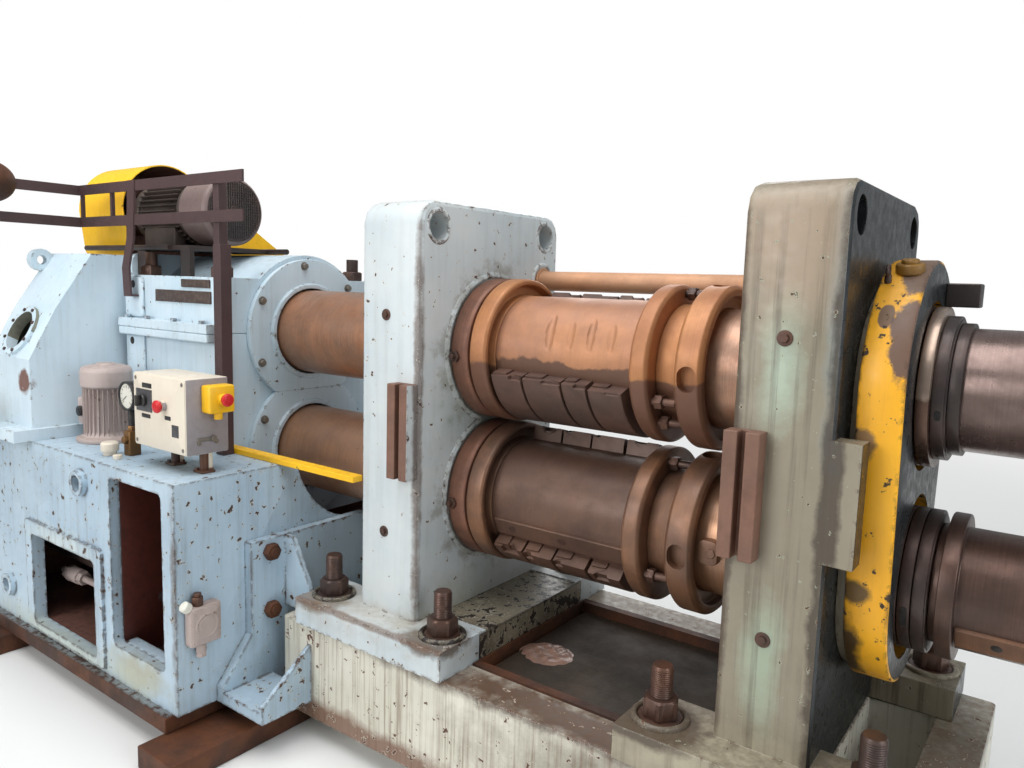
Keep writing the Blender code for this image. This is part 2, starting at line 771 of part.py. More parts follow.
def make_sleepers():
    places = {"drive_sleeper": DRIVE_SLEEPER_X, "middle_sleeper": 0.0, "roll_sleeper": ROLL_SLEEPER_X}
    for name, x in places.items():
        low = (x - SLEEPER_WIDTH / 2, -SLEEPER_HALF_LENGTH, 0)
        high = (x + SLEEPER_WIDTH / 2, SLEEPER_HALF_LENGTH, SLEEPER_HEIGHT)
        keep(box(name, low, high), "rusty_steel")


def base_bays():
    """The clear X ranges of the base frame between its cross members."""
    return (
        (BASE_LEFT_X + BASE_END_WIDTH, INNER_STAND_X),
        (INNER_STAND_RIGHT_X, OUTER_STAND_X),
        (OUTER_STAND_RIGHT_X, BASE_RIGHT_X - BASE_END_WIDTH),
    )


def make_base_frame():
    inside_y = BASE_HALF_DEPTH - BASE_BEAM_WIDTH
    outline = rounded_box_outline(
        (BASE_LEFT_X, -BASE_HALF_DEPTH), (BASE_RIGHT_X, BASE_HALF_DEPTH), STAND_EDGE_RADIUS
    )
    bays = [
        rounded_box_outline((left, -inside_y), (right, inside_y), STAND_EDGE_RADIUS)
        for left, right in base_bays()
    ]
    keep(slab("base_frame", "XY", outline, FLOOR_OF_BASE, BASE_TOP_HEIGHT, bays), "green_paint")


def make_scale_tray():
    left, right = base_bays()[1]
    inside_y = BASE_HALF_DEPTH - BASE_BEAM_WIDTH
    left += APRON_LENGTH + 2 * SEAT_GAP - TRAY_RIM
    low = (left + TRAY_RIM, -inside_y + TRAY_SIDE_GAP)
    high = (right - TRAY_SIDE_GAP, inside_y - TRAY_SIDE_GAP)
    top = STAND_FLOOR_HEIGHT + TRAY_WALL
    tray = box("scale_tray", (*low, BASE_TOP_HEIGHT - TRAY_DEPTH), (*high, BASE_TOP_HEIGHT))
    foot_left = (OUTER_STAND_X + OUTER_STAND_RIGHT_X) / 2 - FOOT_HALF_LENGTH
    rim_low = (low[0], low[1] - TRAY_RIM, STAND_FLOOR_HEIGHT)
    rim_high = (foot_left - SEAT_GAP, high[1] + TRAY_RIM, top)
    join(tray, box("tray_collar", (*low, BASE_TOP_HEIGHT - TRAY_WALL), (foot_left - SEAT_GAP, high[1], top)))
    join(tray, box("tray_rim", rim_low, rim_high))
    hollow_low = (low[0] + TRAY_WALL, low[1] + TRAY_WALL, BASE_TOP_HEIGHT - TRAY_DEPTH + TRAY_WALL)
    hollow_high = (high[0] - TRAY_WALL, high[1] - TRAY_WALL, top + OVERRUN)
    keep(cut(tray, box("tray_hollow", hollow_low, hollow_high)), "rusty_steel")


def make_stand(name, left_x, thickness, finish):
    """One roll stand: a tall block with two bores, four bolting feet and two lifting holes."""
    right_x = left_x + thickness
    corners = rounded_box_outline(
        (-STAND_HALF_WIDTH, STAND_FLOOR_HEIGHT),
        (STAND_HALF_WIDTH, STAND_TOP_HEIGHT),
        STAND_CORNER_RADIUS,
    )
    outline = [point for point in corners if point[1] > STAND_FLOOR_HEIGHT + STAND_CORNER_RADIUS]
    outline += [(-STAND_HALF_WIDTH, STAND_FLOOR_HEIGHT), (STAND_HALF_WIDTH, STAND_FLOOR_HEIGHT)]
    stand = soften(slab(name, "YZ", outline, left_x, right_x), STAND_EDGE_RADIUS)
    middle_x = (left_x + right_x) / 2
    foot_sides = (
        ("front", -FOOT_OUTSIDE_Y, -FOOT_INSIDE_Y),
        ("rear", FOOT_INSIDE_Y, FOOT_OUTSIDE_Y),
    )
    for side, near, far in foot_sides:
        low = (middle_x - FOOT_HALF_LENGTH, near, STAND_FLOOR_HEIGHT - SEAT_GAP / 2)
        high = (middle_x + FOOT_HALF_LENGTH, far, FOOT_TOP_HEIGHT)
        join(stand, box(f"{name}_{side}_foot", low, high))
    for level, height in AXIS_HEIGHTS.items():
        bore = SHAFT_RADIUS + RUNNING_GAP
        bore_name = f"{name}_{level}_bore"
        cut(stand, along_x(bore_name, left_x - OVERRUN, thickness + 2 * OVERRUN, 0, height, bore))
    hole_z = STAND_TOP_HEIGHT - LIFTING_HOLE_DROP
    for side, y in (("front", -LIFTING_HOLE_Y), ("rear", LIFTING_HOLE_Y)):
        hole = along_x(
            f"{name}_{side}_hole", left_x - OVERRUN, thickness + 2 * OVERRUN, y, hole_z,
            LIFTING_HOLE_RADIUS, SMALL_ROUND_STEPS,
        )
        cut(stand, hole)
    return keep(stand, finish)


def make_stands():
    make_stand("inner_stand", INNER_STAND_X, INNER_STAND_THICKNESS, "blue_paint")
    outer = make_stand("outer_stand", OUTER_STAND_X, OUTER_STAND_THICKNESS, "green_paint")
    for side, sign in (("front", -1), ("rear", 1)):
        near, far = sorted((sign * STAND_HALF_WIDTH, sign * (STAND_HALF_WIDTH - LUG_WIDTH)))
        low = (OUTER_STAND_RIGHT_X - OVERRUN, near, LUG_BOTTOM_HEIGHT)
        high = (OUTER_STAND_RIGHT_X + LUG_LENGTH, far, LUG_TOP_HEIGHT)
        join(outer, box(f"{side}_lug", low, high))


def make_apron_plate():
    left = INNER_STAND_RIGHT_X + SEAT_GAP
    low = (left, -APRON_HALF_DEPTH, STAND_FLOOR_HEIGHT)
    high = (left + APRON_LENGTH, APRON_HALF_DEPTH, STAND_FLOOR_HEIGHT + APRON_THICKNESS)
    plate = box("apron_plate", low, high)
    for sign, side in ((-1, "front"), (1, "rear")):
        near, far = sorted((sign * FOOT_INSIDE_Y - sign * SEAT_GAP, sign * (APRON_HALF_DEPTH + OVERRUN)))
        notch_low = (left - OVERRUN, near, low[2] - OVERRUN)
        notch_high = (foot_right_x() + SEAT_GAP, far, high[2] + OVERRUN)
        cut(plate, box(f"apron_{side}_notch", notch_low, notch_high))
    keep(plate, "rusty_steel")


def foot_right_x():
    return (INNER_STAND_X + INNER_STAND_RIGHT_X) / 2 + FOOT_HALF_LENGTH


def make_guide_channels():
    """Slotted guide blocks on the roll side of each stand's front face."""
    rear = -STAND_HALF_WIDTH - SEAT_GAP
    front = rear - GUIDE_DEPTH
    places = {"inner_guide": INNER_STAND_RIGHT_X - GUIDE_WIDTH, "outer_guide": OUTER_STAND_X}
    for name, left in places.items():
        middle = left + GUIDE_WIDTH / 2
        outline = [
            (left, rear),
            (left + GUIDE_WIDTH, rear),
            (left + GUIDE_WIDTH, front),
            (middle + GUIDE_SLOT_WIDTH / 2, front),
            (middle + GUIDE_SLOT_WIDTH / 2, front + GUIDE_SLOT_DEPTH),
            (middle - GUIDE_SLOT_WIDTH / 2, front + GUIDE_SLOT_DEPTH),
            (middle - GUIDE_SLOT_WIDTH / 2, front),
            (left, front),
        ]
        keep(slab(name, "XY", outline, GUIDE_BOTTOM_HEIGHT, GUIDE_TOP_HEIGHT), "roll_steel")


def make_tie_rod():
    left = INNER_STAND_RIGHT_X + SEAT_GAP
    right = OUTER_STAND_X - SEAT_GAP
    outline = [
        (left, 0),
        (left, TIE_BOSS_RADIUS),
        (left + TIE_BOSS_LENGTH, TIE_BOSS_RADIUS),
        (left + TIE_BOSS_LENGTH, TIE_ROD_RADIUS),
        (right - TIE_BOSS_LENGTH, TIE_ROD_RADIUS),
        (right - TIE_BOSS_LENGTH, TIE_BOSS_RADIUS),
        (right, TIE_BOSS_RADIUS),
        (right, 0),
    ]
    keep(turned("tie_rod", TIE_ROD_Y, TIE_ROD_HEIGHT, outline, SMALL_ROUND_STEPS), "roll_steel")


def make_bearing_rings():
    for level, height in AXIS_HEIGHTS.items():
        left = INNER_STAND_RIGHT_X + SEAT_GAP
        bore = SHAFT_RADIUS + RUNNING_GAP
        keep(
            ring(f"{level}_bearing_ring", 0, height, left, BEARING_RING_WIDTH, BEARING_RING_RADIUS, bore),
            "roll_steel",
        )


def make_shaft(level, origin):
    """A long shaft from the gearbox to the outboard roll, stepped down behind the end plate."""
    outline = [
        (SHAFT_LEFT_X, 0),
        (SHAFT_LEFT_X, SHAFT_RADIUS),
        (SHAFT_STEP_X, SHAFT_RADIUS),
        (SHAFT_STEP_X, OUTBOARD_SHAFT_RADIUS),
        (SHAFT_RIGHT_X, OUTBOARD_SHAFT_RADIUS),
        (SHAFT_RIGHT_X, 0),
    ]
    shaft = turned(f"{level}_shaft", 0, AXIS_HEIGHTS[level], outline)
    hang(keep(shaft, "turned_steel"), origin)


def make_roll_flange(level, origin):
    """The fixed flange of a roll, with a turned recess towards the dies."""
    right = FLANGE_X + FLANGE_WIDTH
    bore = SHAFT_RADIUS + SEAT_GAP
    outline = [
        (FLANGE_X, bore),
        (FLANGE_X, FLANGE_RADIUS),
        (right, FLANGE_RADIUS),
        (right, FLANGE_RECESS_OUTER_RADIUS),
        (right - FLANGE_RECESS_DEPTH, FLANGE_RECESS_OUTER_RADIUS),
        (right - FLANGE_RECESS_DEPTH, SLEEVE_RADIUS),
        (right, SLEEVE_RADIUS),
        (right, bore),
    ]
    flange = turned(f"{level}_roll_flange", 0, AXIS_HEIGHTS[level], outline)
    hang(keep(flange, "roll_steel"), origin)


# Start angle of each die's top edge, as a share of DIE_STEP raised above the lowest one
DIE_EDGE_SHARES = (1.00, 0.80, 0.70, 0.00)
# Where the dies meet, as shares of their whole length
DIE_SPLIT_SHARES = {"upper": (0, 0.255, 0.558, 0.748, 1), "lower": (0, 0.25, 0.49, 0.75, 1)}
DIE_FRONT_ANGLE = {"upper": 200.0, "lower": 222.0}
DIE_REAR_ANGLE = {"upper": 415.0, "lower": 437.0}
KEY_ANGLE = {"lower": 205.0}
DENT_ANGLE = {"upper": 154.0}


def sector_outline(inner, outer, start, end):
    """Half-shell cross-section between two radii and two angles."""
    steps = max(4, round((end - start) / 12))
    return arc((0, 0), outer, start, end, steps) + arc((0, 0), inner, end, start, steps)


def make_dies(level, origin):
    """The die sleeve: a smooth barrel with stepped half-shell die segments around its lower half."""
    height = AXIS_HEIGHTS[level]
    bore = SHAFT_RADIUS + SEAT_GAP
    name = f"{level}_dies"
    sleeve = ring(name, 0, height, SLEEVE_X, SLEEVE_LENGTH, SLEEVE_RADIUS, bore)
    left = SLEEVE_X + DIE_LEFT_MARGIN
    length = SLEEVE_LENGTH - DIE_LEFT_MARGIN - DIE_RIGHT_MARGIN + DIE_GAP
    splits = [left + length * share for share in DIE_SPLIT_SHARES[level]]
    inner = (bore + SLEEVE_RADIUS) / 2
    for i, share in enumerate(DIE_EDGE_SHARES):
        lift = math.degrees(share * DIE_STEP / DIE_RADIUS)
        start = DIE_FRONT_ANGLE[level] - lift
        end = DIE_REAR_ANGLE[level] + lift
        outline = [(y, z + height) for y, z in sector_outline(inner, DIE_RADIUS, start, end)]
        segment = slab(f"{name}_segment_{i + 1}", "YZ", outline, splits[i], splits[i + 1] - DIE_GAP)
        join(sleeve, segment)
    if level in KEY_ANGLE:
        join(sleeve, key_bar(level))
    if level in DENT_ANGLE:
        cut(sleeve, *dents(level))
    hang(keep(sleeve, "roll_steel"), origin)


def key_bar(level):
    """The flat key bar let into the lower sleeve."""
    angle = math.radians(KEY_ANGLE[level])
    inner = (SHAFT_RADIUS + SLEEVE_RADIUS) / 2
    bar = box(
        f"{level}_key_bar",
        (SLEEVE_X + DIE_LEFT_MARGIN, -KEY_BAR_WIDTH / 2, inner),
        (SLEEVE_X + SLEEVE_LENGTH - DIE_GAP, KEY_BAR_WIDTH / 2, SLEEVE_RADIUS + KEY_BAR_RISE),
    )
    turn = Matrix.Rotation(angle - math.pi / 2, 4, "X")
    bar.matrix_basis = Matrix.Translation((0, 0, AXIS_HEIGHTS[level])) @ turn @ bar.matrix_basis
    return bar


# Places of the shallow dents along the upper sleeve
DENT_PLACE_SHARES = (0.39, 0.54, 0.68, 0.82)
DENT_LENGTH_SHARE = 0.25


def dents(level):
    """Shallow oval dents, cut by flat drums set across the sleeve."""
    angle = math.radians(DENT_ANGLE[level])
    out = Vector((0, math.cos(angle), math.sin(angle)))
    tools = []
    for i, share in enumerate(DENT_PLACE_SHARES):
        x = SLEEVE_X + SLEEVE_LENGTH * share
        reach = SLEEVE_RADIUS + DENT_RADIUS * 2 - DENT_DEPTH
        centre = Vector((x, 0, AXIS_HEIGHTS[level])) + out * reach
        solid = bmesh.new()
        bmesh.ops.create_uvsphere(solid, u_segments=20, v_segments=12, radius=DENT_RADIUS * 2)
        bmesh.ops.scale(solid, vec=(DENT_LENGTH_SHARE, 1, 1), verts=solid.verts)
        mesh = bpy.data.meshes.new(f"{level}_dent_{i + 1}")
        solid.to_mesh(mesh)
        solid.free()
        tool = wrap(f"{level}_dent_{i + 1}", mesh)
        tool.location = centre
        tools.append(tool)
    return tools


def make_clamp_ring(level, origin):
    bore = SHAFT_RADIUS + SEAT_GAP
    clamp = ring(
        f"{level}_clamp_ring", 0, AXIS_HEIGHTS[level], CLAMP_RING_X, CLAMP_RING_WIDTH,
        CLAMP_RING_RADIUS, bore, CLAMP_RING_CHAMFER,
    )
    hang(keep(clamp, "roll_steel"), origin)


SPANNER_HOLE_ANGLE = 184


def make_ring_nut(level, origin):
    """Neck sleeve and ring nut in one: spanner holes round the rim, a recess towards the outer stand."""
    bore = SHAFT_RADIUS + SEAT_GAP
    right = RING_NUT_X + RING_NUT_WIDTH
    outline = [
        (NECK_X, bore),
        (NECK_X, NECK_RADIUS),
        (RING_NUT_X, NECK_RADIUS),
        (RING_NUT_X, RING_NUT_RADIUS - RING_NUT_CHAMFER),
        (RING_NUT_X + RING_NUT_CHAMFER, RING_NUT_RADIUS),
        (right - RING_NUT_CHAMFER, RING_NUT_RADIUS),
        (right, RING_NUT_RADIUS - RING_NUT_CHAMFER),
        (right, RING_NUT_RECESS_RADIUS),
        (right - RING_NUT_RECESS_DEPTH, RING_NUT_RECESS_RADIUS),
        (right - RING_NUT_RECESS_DEPTH, bore),
    ]
    height = AXIS_HEIGHTS[level]
    nut = turned(f"{level}_ring_nut", 0, height, outline)
    middle = RING_NUT_X + RING_NUT_WIDTH / 2
    for i in range(4):
        angle = math.radians(SPANNER_HOLE_ANGLE + 90 * i)
        out = Vector((0, math.cos(angle), math.sin(angle)))
        across = Vector((0, -math.sin(angle), math.cos(angle)))
        depth = SPANNER_HOLE_DEPTH * 2
        outline = [
            (point[0], point[1] + side)
            for side, start in ((SPANNER_HOLE_STRETCH / 2, 0), (-SPANNER_HOLE_STRETCH / 2, 180))
            for point in arc((0, 0), SPANNER_HOLE_RADIUS, start, start + 180, 6)
        ]
        tool = slab(f"{level}_spanner_hole_{i + 1}", "XY", outline, -depth / 2, depth / 2)
        turn = Matrix((Vector((1, 0, 0)), across, out)).transposed().to_4x4()
        place = Vector((middle, 0, height)) + out * RING_NUT_RADIUS
        tool.matrix_basis = Matrix.Translation(place) @ turn
        cut(nut, tool)
    hang(keep(nut, "roll_steel"), origin)


def make_outboard_collar(level, origin):
    """Three stepped rings behind the outboard roll."""
    bore = OUTBOARD_SHAFT_RADIUS + SEAT_GAP
    radii = {
        "upper": (OUTBOARD_COLLAR_RADIUS, OUTBOARD_MIDDLE_RADIUS, OUTBOARD_INNER_RADIUS),
        "lower": (OUTBOARD_MIDDLE_RADIUS, OUTBOARD_MIDDLE_RADIUS, OUTBOARD_MIDDLE_RADIUS),
    }[level]
    outline = [(OUTBOARD_X, bore)]
    for i, radius in enumerate(radii):
        outline.append((OUTBOARD_X + i * OUTBOARD_RING_WIDTH, radius))
        outline.append((OUTBOARD_X + (i + 1) * OUTBOARD_RING_WIDTH, radius))
    outline.append((OUTBOARD_X + 3 * OUTBOARD_RING_WIDTH, bore))
    unique = [point for i, point in enumerate(outline) if i == 0 or point != outline[i - 1]]
    collar = turned(f"{level}_outboard_collar", 0, AXIS_HEIGHTS[level], unique)
    hang(keep(collar, "dark_steel"), origin)


def make_outboard_roll(level, origin):
    """Polished outboard roll body with an end flange, held by a nut on the shaft's end."""
    bore = OUTBOARD_SHAFT_RADIUS + SEAT_GAP
    left = OUTBOARD_SLEEVE_X
    right = left + OUTBOARD_SLEEVE_LENGTH
    outline = [(left, bore)]
    if level == "lower":
        outline += [
            (left, OUTBOARD_SLEEVE_RADIUS),
            (left + OUTBOARD_FLANGE_WIDTH / 2, OUTBOARD_SLEEVE_RADIUS),
            (left + OUTBOARD_FLANGE_WIDTH / 2, OUTBOARD_FLANGE_RADIUS),
            (left + 3 * OUTBOARD_FLANGE_WIDTH / 2, OUTBOARD_FLANGE_RADIUS),
            (left + 3 * OUTBOARD_FLANGE_WIDTH / 2, OUTBOARD_SLEEVE_RADIUS),
        ]
    else:
        outline += [(left, OUTBOARD_SLEEVE_RADIUS)]
    outline += [
        (right - OUTBOARD_FLANGE_WIDTH, OUTBOARD_SLEEVE_RADIUS),
        (right - OUTBOARD_FLANGE_WIDTH, OUTBOARD_FLANGE_RADIUS),
        (right, OUTBOARD_FLANGE_RADIUS),
        (right, bore),
    ]
    roll = turned(f"{level}_outboard_roll", 0, AXIS_HEIGHTS[level], outline)
    hang(keep(roll, "turned_steel"), origin)
    nut = ring(
        f"{level}_end_nut", 0, AXIS_HEIGHTS[level], OUTBOARD_NUT_X, OUTBOARD_NUT_WIDTH,
        OUTBOARD_NUT_RADIUS, bore, RING_NUT_CHAMFER,
    )
    hang(keep(nut, "dark_steel"), origin)


def make_rolls():
    for level, height in AXIS_HEIGHTS.items():
        origin = empty(f"{level}_roll_axis", (0, 0, height))
        make_shaft(level, origin)
        make_roll_flange(level, origin)
        make_dies(level, origin)
        make_clamp_ring(level, origin)
        make_ring_nut(level, origin)
        make_outboard_collar(level, origin)
        make_outboard_roll(level, origin)


def obround(upper_radius, lower_radius, steps=SMALL_ROUND_STEPS):
    """One loop round both shaft axes."""
    top = arc((0, UPPER_AXIS_HEIGHT), upper_radius, 0, 180, steps)
    bottom = arc((0, LOWER_AXIS_HEIGHT), lower_radius, 180, 360, steps)
    return top + bottom


def make_end_plate():
    hole = END_PLATE_HOLE_RADIUS
    holes = [circle((0, height), hole) for height in AXIS_HEIGHTS.values()]
    step_x = END_PLATE_X + END_PLATE_SPIGOT_LENGTH
    rim = obround(END_PLATE_RADIUS, END_PLATE_LOWER_RADIUS)
    plate = slab("end_plate", "YZ", rim, step_x, END_PLATE_RIGHT_X, holes)
    seat = obround(END_PLATE_SPIGOT_RADIUS, END_PLATE_SPIGOT_RADIUS)
    spigot = slab("end_plate_spigot", "YZ", seat, END_PLATE_X, step_x + OVERRUN, holes)
    join(plate, spigot)
    keep(plate, "yellow_paint")
    left = END_PLATE_RIGHT_X + SEAT_GAP
    middle = (STOP_BAR_Y, UPPER_AXIS_HEIGHT + STOP_BAR_RISE)
    half = STOP_BAR_SIDE / 2
    low = (left, middle[0] - half, middle[1] - half)
    high = (left + STOP_BAR_LENGTH, middle[0] + half, middle[1] + half)
    keep(box("stop_bar", low, high), "dark_steel")


def make_cabinet():
    """The oil cabinet: a hollow box with a tall slot, a framed window and two round ports in front."""
    front = -CABINET_HALF_DEPTH
    low = (CABINET_LEFT_X, front, CABINET_FLOOR_HEIGHT)
    high = (CABINET_RIGHT_X, CABINET_HALF_DEPTH, CABINET_TOP_HEIGHT)
    cabinet = box("cabinet", low, high)
    frame_low = (WINDOW_LEFT_X - WINDOW_FRAME_BORDER, WINDOW_BOTTOM_HEIGHT - WINDOW_FRAME_BORDER / 2)
    frame_high = (
        WINDOW_LEFT_X + WINDOW_WIDTH + WINDOW_FRAME_BORDER,
        WINDOW_BOTTOM_HEIGHT + WINDOW_HEIGHT + WINDOW_FRAME_BORDER,
    )
    frame = slab(
        "window_frame", "XZ", rounded_box_outline(frame_low, frame_high, WINDOW_CORNER_RADIUS),
        front - WINDOW_FRAME_THICKNESS, front + CABINET_WALL / 2,
    )
    join(cabinet, frame)
    ports = {"upper": (UPPER_PORT_X, UPPER_PORT_HEIGHT), "lower": (LOWER_PORT_X, LOWER_PORT_HEIGHT)}
    for name, (x, z) in ports.items():
        middle_y = front - PORT_RING_LENGTH / 2 + CABINET_WALL / 4
        length = PORT_RING_LENGTH + CABINET_WALL / 2
        place = (x, middle_y, z)
        ring_name = f"{name}_port_ring"
        join(cabinet, cylinder(ring_name, place, (0, 1, 0), PORT_RING_RADIUS, length, SMALL_ROUND_STEPS))
    hollow_low = [place + CABINET_WALL for place in low]
    hollow_high = [place - CABINET_WALL for place in high]
    cut(cabinet, box("cabinet_hollow", hollow_low, hollow_high))
    slot = rounded_box_outline(
        (SLOT_LEFT_X, SLOT_BOTTOM_HEIGHT), (SLOT_LEFT_X + SLOT_WIDTH, SLOT_TOP_HEIGHT), SLOT_CORNER_RADIUS
    )
    window = rounded_box_outline(
        (WINDOW_LEFT_X, WINDOW_BOTTOM_HEIGHT),
        (WINDOW_LEFT_X + WINDOW_WIDTH, WINDOW_BOTTOM_HEIGHT + WINDOW_HEIGHT),
        WINDOW_CORNER_RADIUS,
    )
    for name, outline in (("slot", slot), ("window", window)):
        near, far = front - 2 * OVERRUN, front + CABINET_WALL + OVERRUN
        cut(cabinet, slab(f"cabinet_{name}", "XZ", outline, near, far))
    well_low = (
        GEARBOX_LEFT_X - SEAT_GAP, -SUMP_HALF_DEPTH - SEAT_GAP, CABINET_TOP_HEIGHT - SUMP_DROP - SEAT_GAP
    )
    well_high = (
        CABINET_RIGHT_X - CABINET_WALL, SUMP_HALF_DEPTH + SEAT_GAP, CABINET_TOP_HEIGHT + OVERRUN
    )
    cut(cabinet, box("shaft_well", well_low, well_high))
    notch_left = CABINET_RIGHT_X - CABINET_WALL - OVERRUN
    notch = along_x(
        "wall_notch", notch_left, CABINET_WALL + 2 * OVERRUN, 0, WALL_NOTCH_HEIGHT, WALL_NOTCH_RADIUS
    )
    cut(cabinet, notch)
    for name, (x, z) in ports.items():
        length = 2 * (CABINET_WALL + PORT_RING_LENGTH + OVERRUN)
        bore_name = f"{name}_port_bore"
        place = (x, front, z)
        cut(cabinet, cylinder(bore_name, place, (0, 1, 0), PORT_RING_BORE, length, SMALL_ROUND_STEPS))
    keep(cabinet, "blue_paint")
    plinth_low = (CABINET_LEFT_X - PLINTH_OVERHANG, front - PLINTH_OVERHANG, FLOOR_OF_BASE)
    plinth_high = (
        CABINET_RIGHT_X - PLINTH_OVERHANG,
        CABINET_HALF_DEPTH + PLINTH_OVERHANG,
        FLOOR_OF_BASE + PLINTH_HEIGHT,
    )
    keep(box("cabinet_plinth", plinth_low, plinth_high), "brown_primer")


def make_oil_line():
    """A pipe with a screwed union, seen through the cabinet's window."""
    half = OIL_UNION_LENGTH / 2
    chamfer = OIL_UNION_RADIUS - OIL_LINE_RADIUS
    left = CABINET_LEFT_X + CABINET_WALL + SEAT_GAP
    outline = [
        (left, 0),
        (left, OIL_LINE_RADIUS),
        (OIL_UNION_X - half - chamfer, OIL_LINE_RADIUS),
        (OIL_UNION_X - half, OIL_UNION_RADIUS),
        (OIL_UNION_X + half, OIL_UNION_RADIUS),
        (OIL_UNION_X + half + chamfer, OIL_LINE_RADIUS),
        (CABINET_RIGHT_X - CABINET_WALL - SEAT_GAP, OIL_LINE_RADIUS),
        (CABINET_RIGHT_X - CABINET_WALL - SEAT_GAP, 0),
    ]
    keep(turned("oil_line", OIL_LINE_Y, OIL_LINE_HEIGHT, outline, SMALL_ROUND_STEPS), "dark_steel")


def make_link_brackets():
    """Cast brackets that bolt the base frame to the cabinet, one at the front and one at the rear."""
    left = CABINET_RIGHT_X + SEAT_GAP
    face = left + BRACKET_PLATE_THICKNESS
    inside = left + BRACKET_PLATE_THICKNESS / 2
    right = left + BRACKET_FOOT_LENGTH
    bottom = FLOOR_OF_BASE + PLINTH_HEIGHT + SEAT_GAP
    foot_top = bottom + BRACKET_FOOT_THICKNESS
    foot_inside = BASE_HALF_DEPTH + SEAT_GAP
    for side, sign in (("front", -1), ("rear", 1)):
        outline = [
            (sign * BRACKET_INSIDE_Y, bottom),
            (sign * BRACKET_OUTSIDE_Y, bottom),
            (sign * BRACKET_OUTSIDE_Y, BRACKET_TOE_HEIGHT),
            (sign * BRACKET_SHOULDER_Y, BRACKET_SHOULDER_HEIGHT),
            (sign * BRACKET_SHOULDER_Y, BRACKET_TOP_HEIGHT),
            (sign * BRACKET_INSIDE_Y, BRACKET_TOP_HEIGHT),
        ]
        bracket = slab(f"{side}_link_bracket", "YZ", outline, left, face)
        near, far = sorted((sign * foot_inside, sign * BRACKET_OUTSIDE_Y))
        join(bracket, box(f"{side}_bracket_foot", (inside, near, bottom), (right, far, foot_top)))
        gusset = [
            (sign * foot_inside, bottom + BRACKET_FOOT_THICKNESS / 2),
            (sign * BRACKET_OUTSIDE_Y, bottom + BRACKET_FOOT_THICKNESS / 2),
            (sign * BRACKET_OUTSIDE_Y, BRACKET_TOE_HEIGHT),
            (sign * foot_inside, BRACKET_SHOULDER_HEIGHT),
        ]
        join(bracket, slab(f"{side}_gusset", "YZ", gusset, right - BRACKET_GUSSET_THICKNESS, right))
        rib = [
            (inside, BASE_TOP_HEIGHT + BRACKET_RIB_LIFT),
            (face + BRACKET_RIB_LENGTH, BASE_TOP_HEIGHT + BRACKET_RIB_LIFT),
            (face + BRACKET_RIB_LENGTH, BRACKET_RIB_SHOULDER_HEIGHT),
            (face + BRACKET_RIB_TOP_LENGTH, BRACKET_TOP_HEIGHT - BRACKET_RIB_TOP_DROP),
            (inside, BRACKET_TOP_HEIGHT - BRACKET_RIB_TOP_DROP),
        ]
        near, far = sorted((sign * BRACKET_RIB_Y, sign * (BRACKET_RIB_Y + BRACKET_GUSSET_THICKNESS)))
        join(bracket, slab(f"{side}_rib", "XZ", rib, near, far))
        keep(bracket, "blue_paint")


def make_gearbox():
    """Two bolted halves, split on the upper shaft's axis, with a round dome over that shaft."""
    split = UPPER_AXIS_HEIGHT
    half = GEARBOX_HALF_DEPTH
    ledge = half + LEDGE_OVERHANG
    top = split - SEAT_GAP / 2
    under = split - LEDGE_THICKNESS
    sump = SUMP_HALF_DEPTH
    sump_floor = CABINET_TOP_HEIGHT - SUMP_DROP
    lower_outline = [
        (-sump, sump_floor), (sump, sump_floor), (sump, ON_CABINET), (half, ON_CABINET), (half, under),
        (ledge, under), (ledge, top), (-ledge, top), (-ledge, under), (-half, under), (-half, ON_CABINET),
        (-sump, ON_CABINET),
    ]
    lower = slab("gearbox_lower", "YZ", lower_outline, GEARBOX_LEFT_X, GEARBOX_RIGHT_X)
    bottom = split + SEAT_GAP / 2
    over = split + LEDGE_THICKNESS
    shoulder = GEARBOX_SHOULDER_HEIGHT
    start = math.degrees(math.asin((shoulder - split) / DOME_RADIUS))
    dome = arc((0, split), DOME_RADIUS, start, 180 - start, SMALL_ROUND_STEPS)
    upper_outline = [
        (-ledge, bottom), (ledge, bottom), (ledge, over), (half, over), (half, shoulder), *dome,
        (-half, shoulder), (-half, over), (-ledge, over),
    ]
    upper = slab("gearbox_upper", "YZ", upper_outline, GEARBOX_LEFT_X, GEARBOX_RIGHT_X)
    wall_corners = rounded_box_outline(
        (-END_WALL_HALF_DEPTH, bottom), (END_WALL_HALF_DEPTH, END_WALL_HEIGHT), END_WALL_CORNER_RADIUS
    )
    wall_outline = [point for point in wall_corners if point[1] > bottom + END_WALL_CORNER_RADIUS]
    wall_outline += [(-END_WALL_HALF_DEPTH, bottom), (END_WALL_HALF_DEPTH, bottom)]
    wall = slab(
        "gearbox_end_wall", "YZ", wall_outline,
        GEARBOX_LEFT_X - END_WALL_THICKNESS, GEARBOX_LEFT_X + END_WALL_SEAT,
    )
    join(upper, wall)
    bore = SHAFT_RADIUS + COVER_BORE_CLEARANCE
    for target, levels in ((lower, ("lower", "upper")), (upper, ("upper",))):
        for level in levels:
            left = GEARBOX_RIGHT_X - SHAFT_SOCKET_DEPTH
            tool = along_x(
                f"{target.name}_{level}_socket", left, SHAFT_SOCKET_DEPTH + OVERRUN,
                0, AXIS_HEIGHTS[level], bore,
            )
            cut(target, tool)
    keep(lower, "blue_paint")
    keep(upper, "blue_paint")


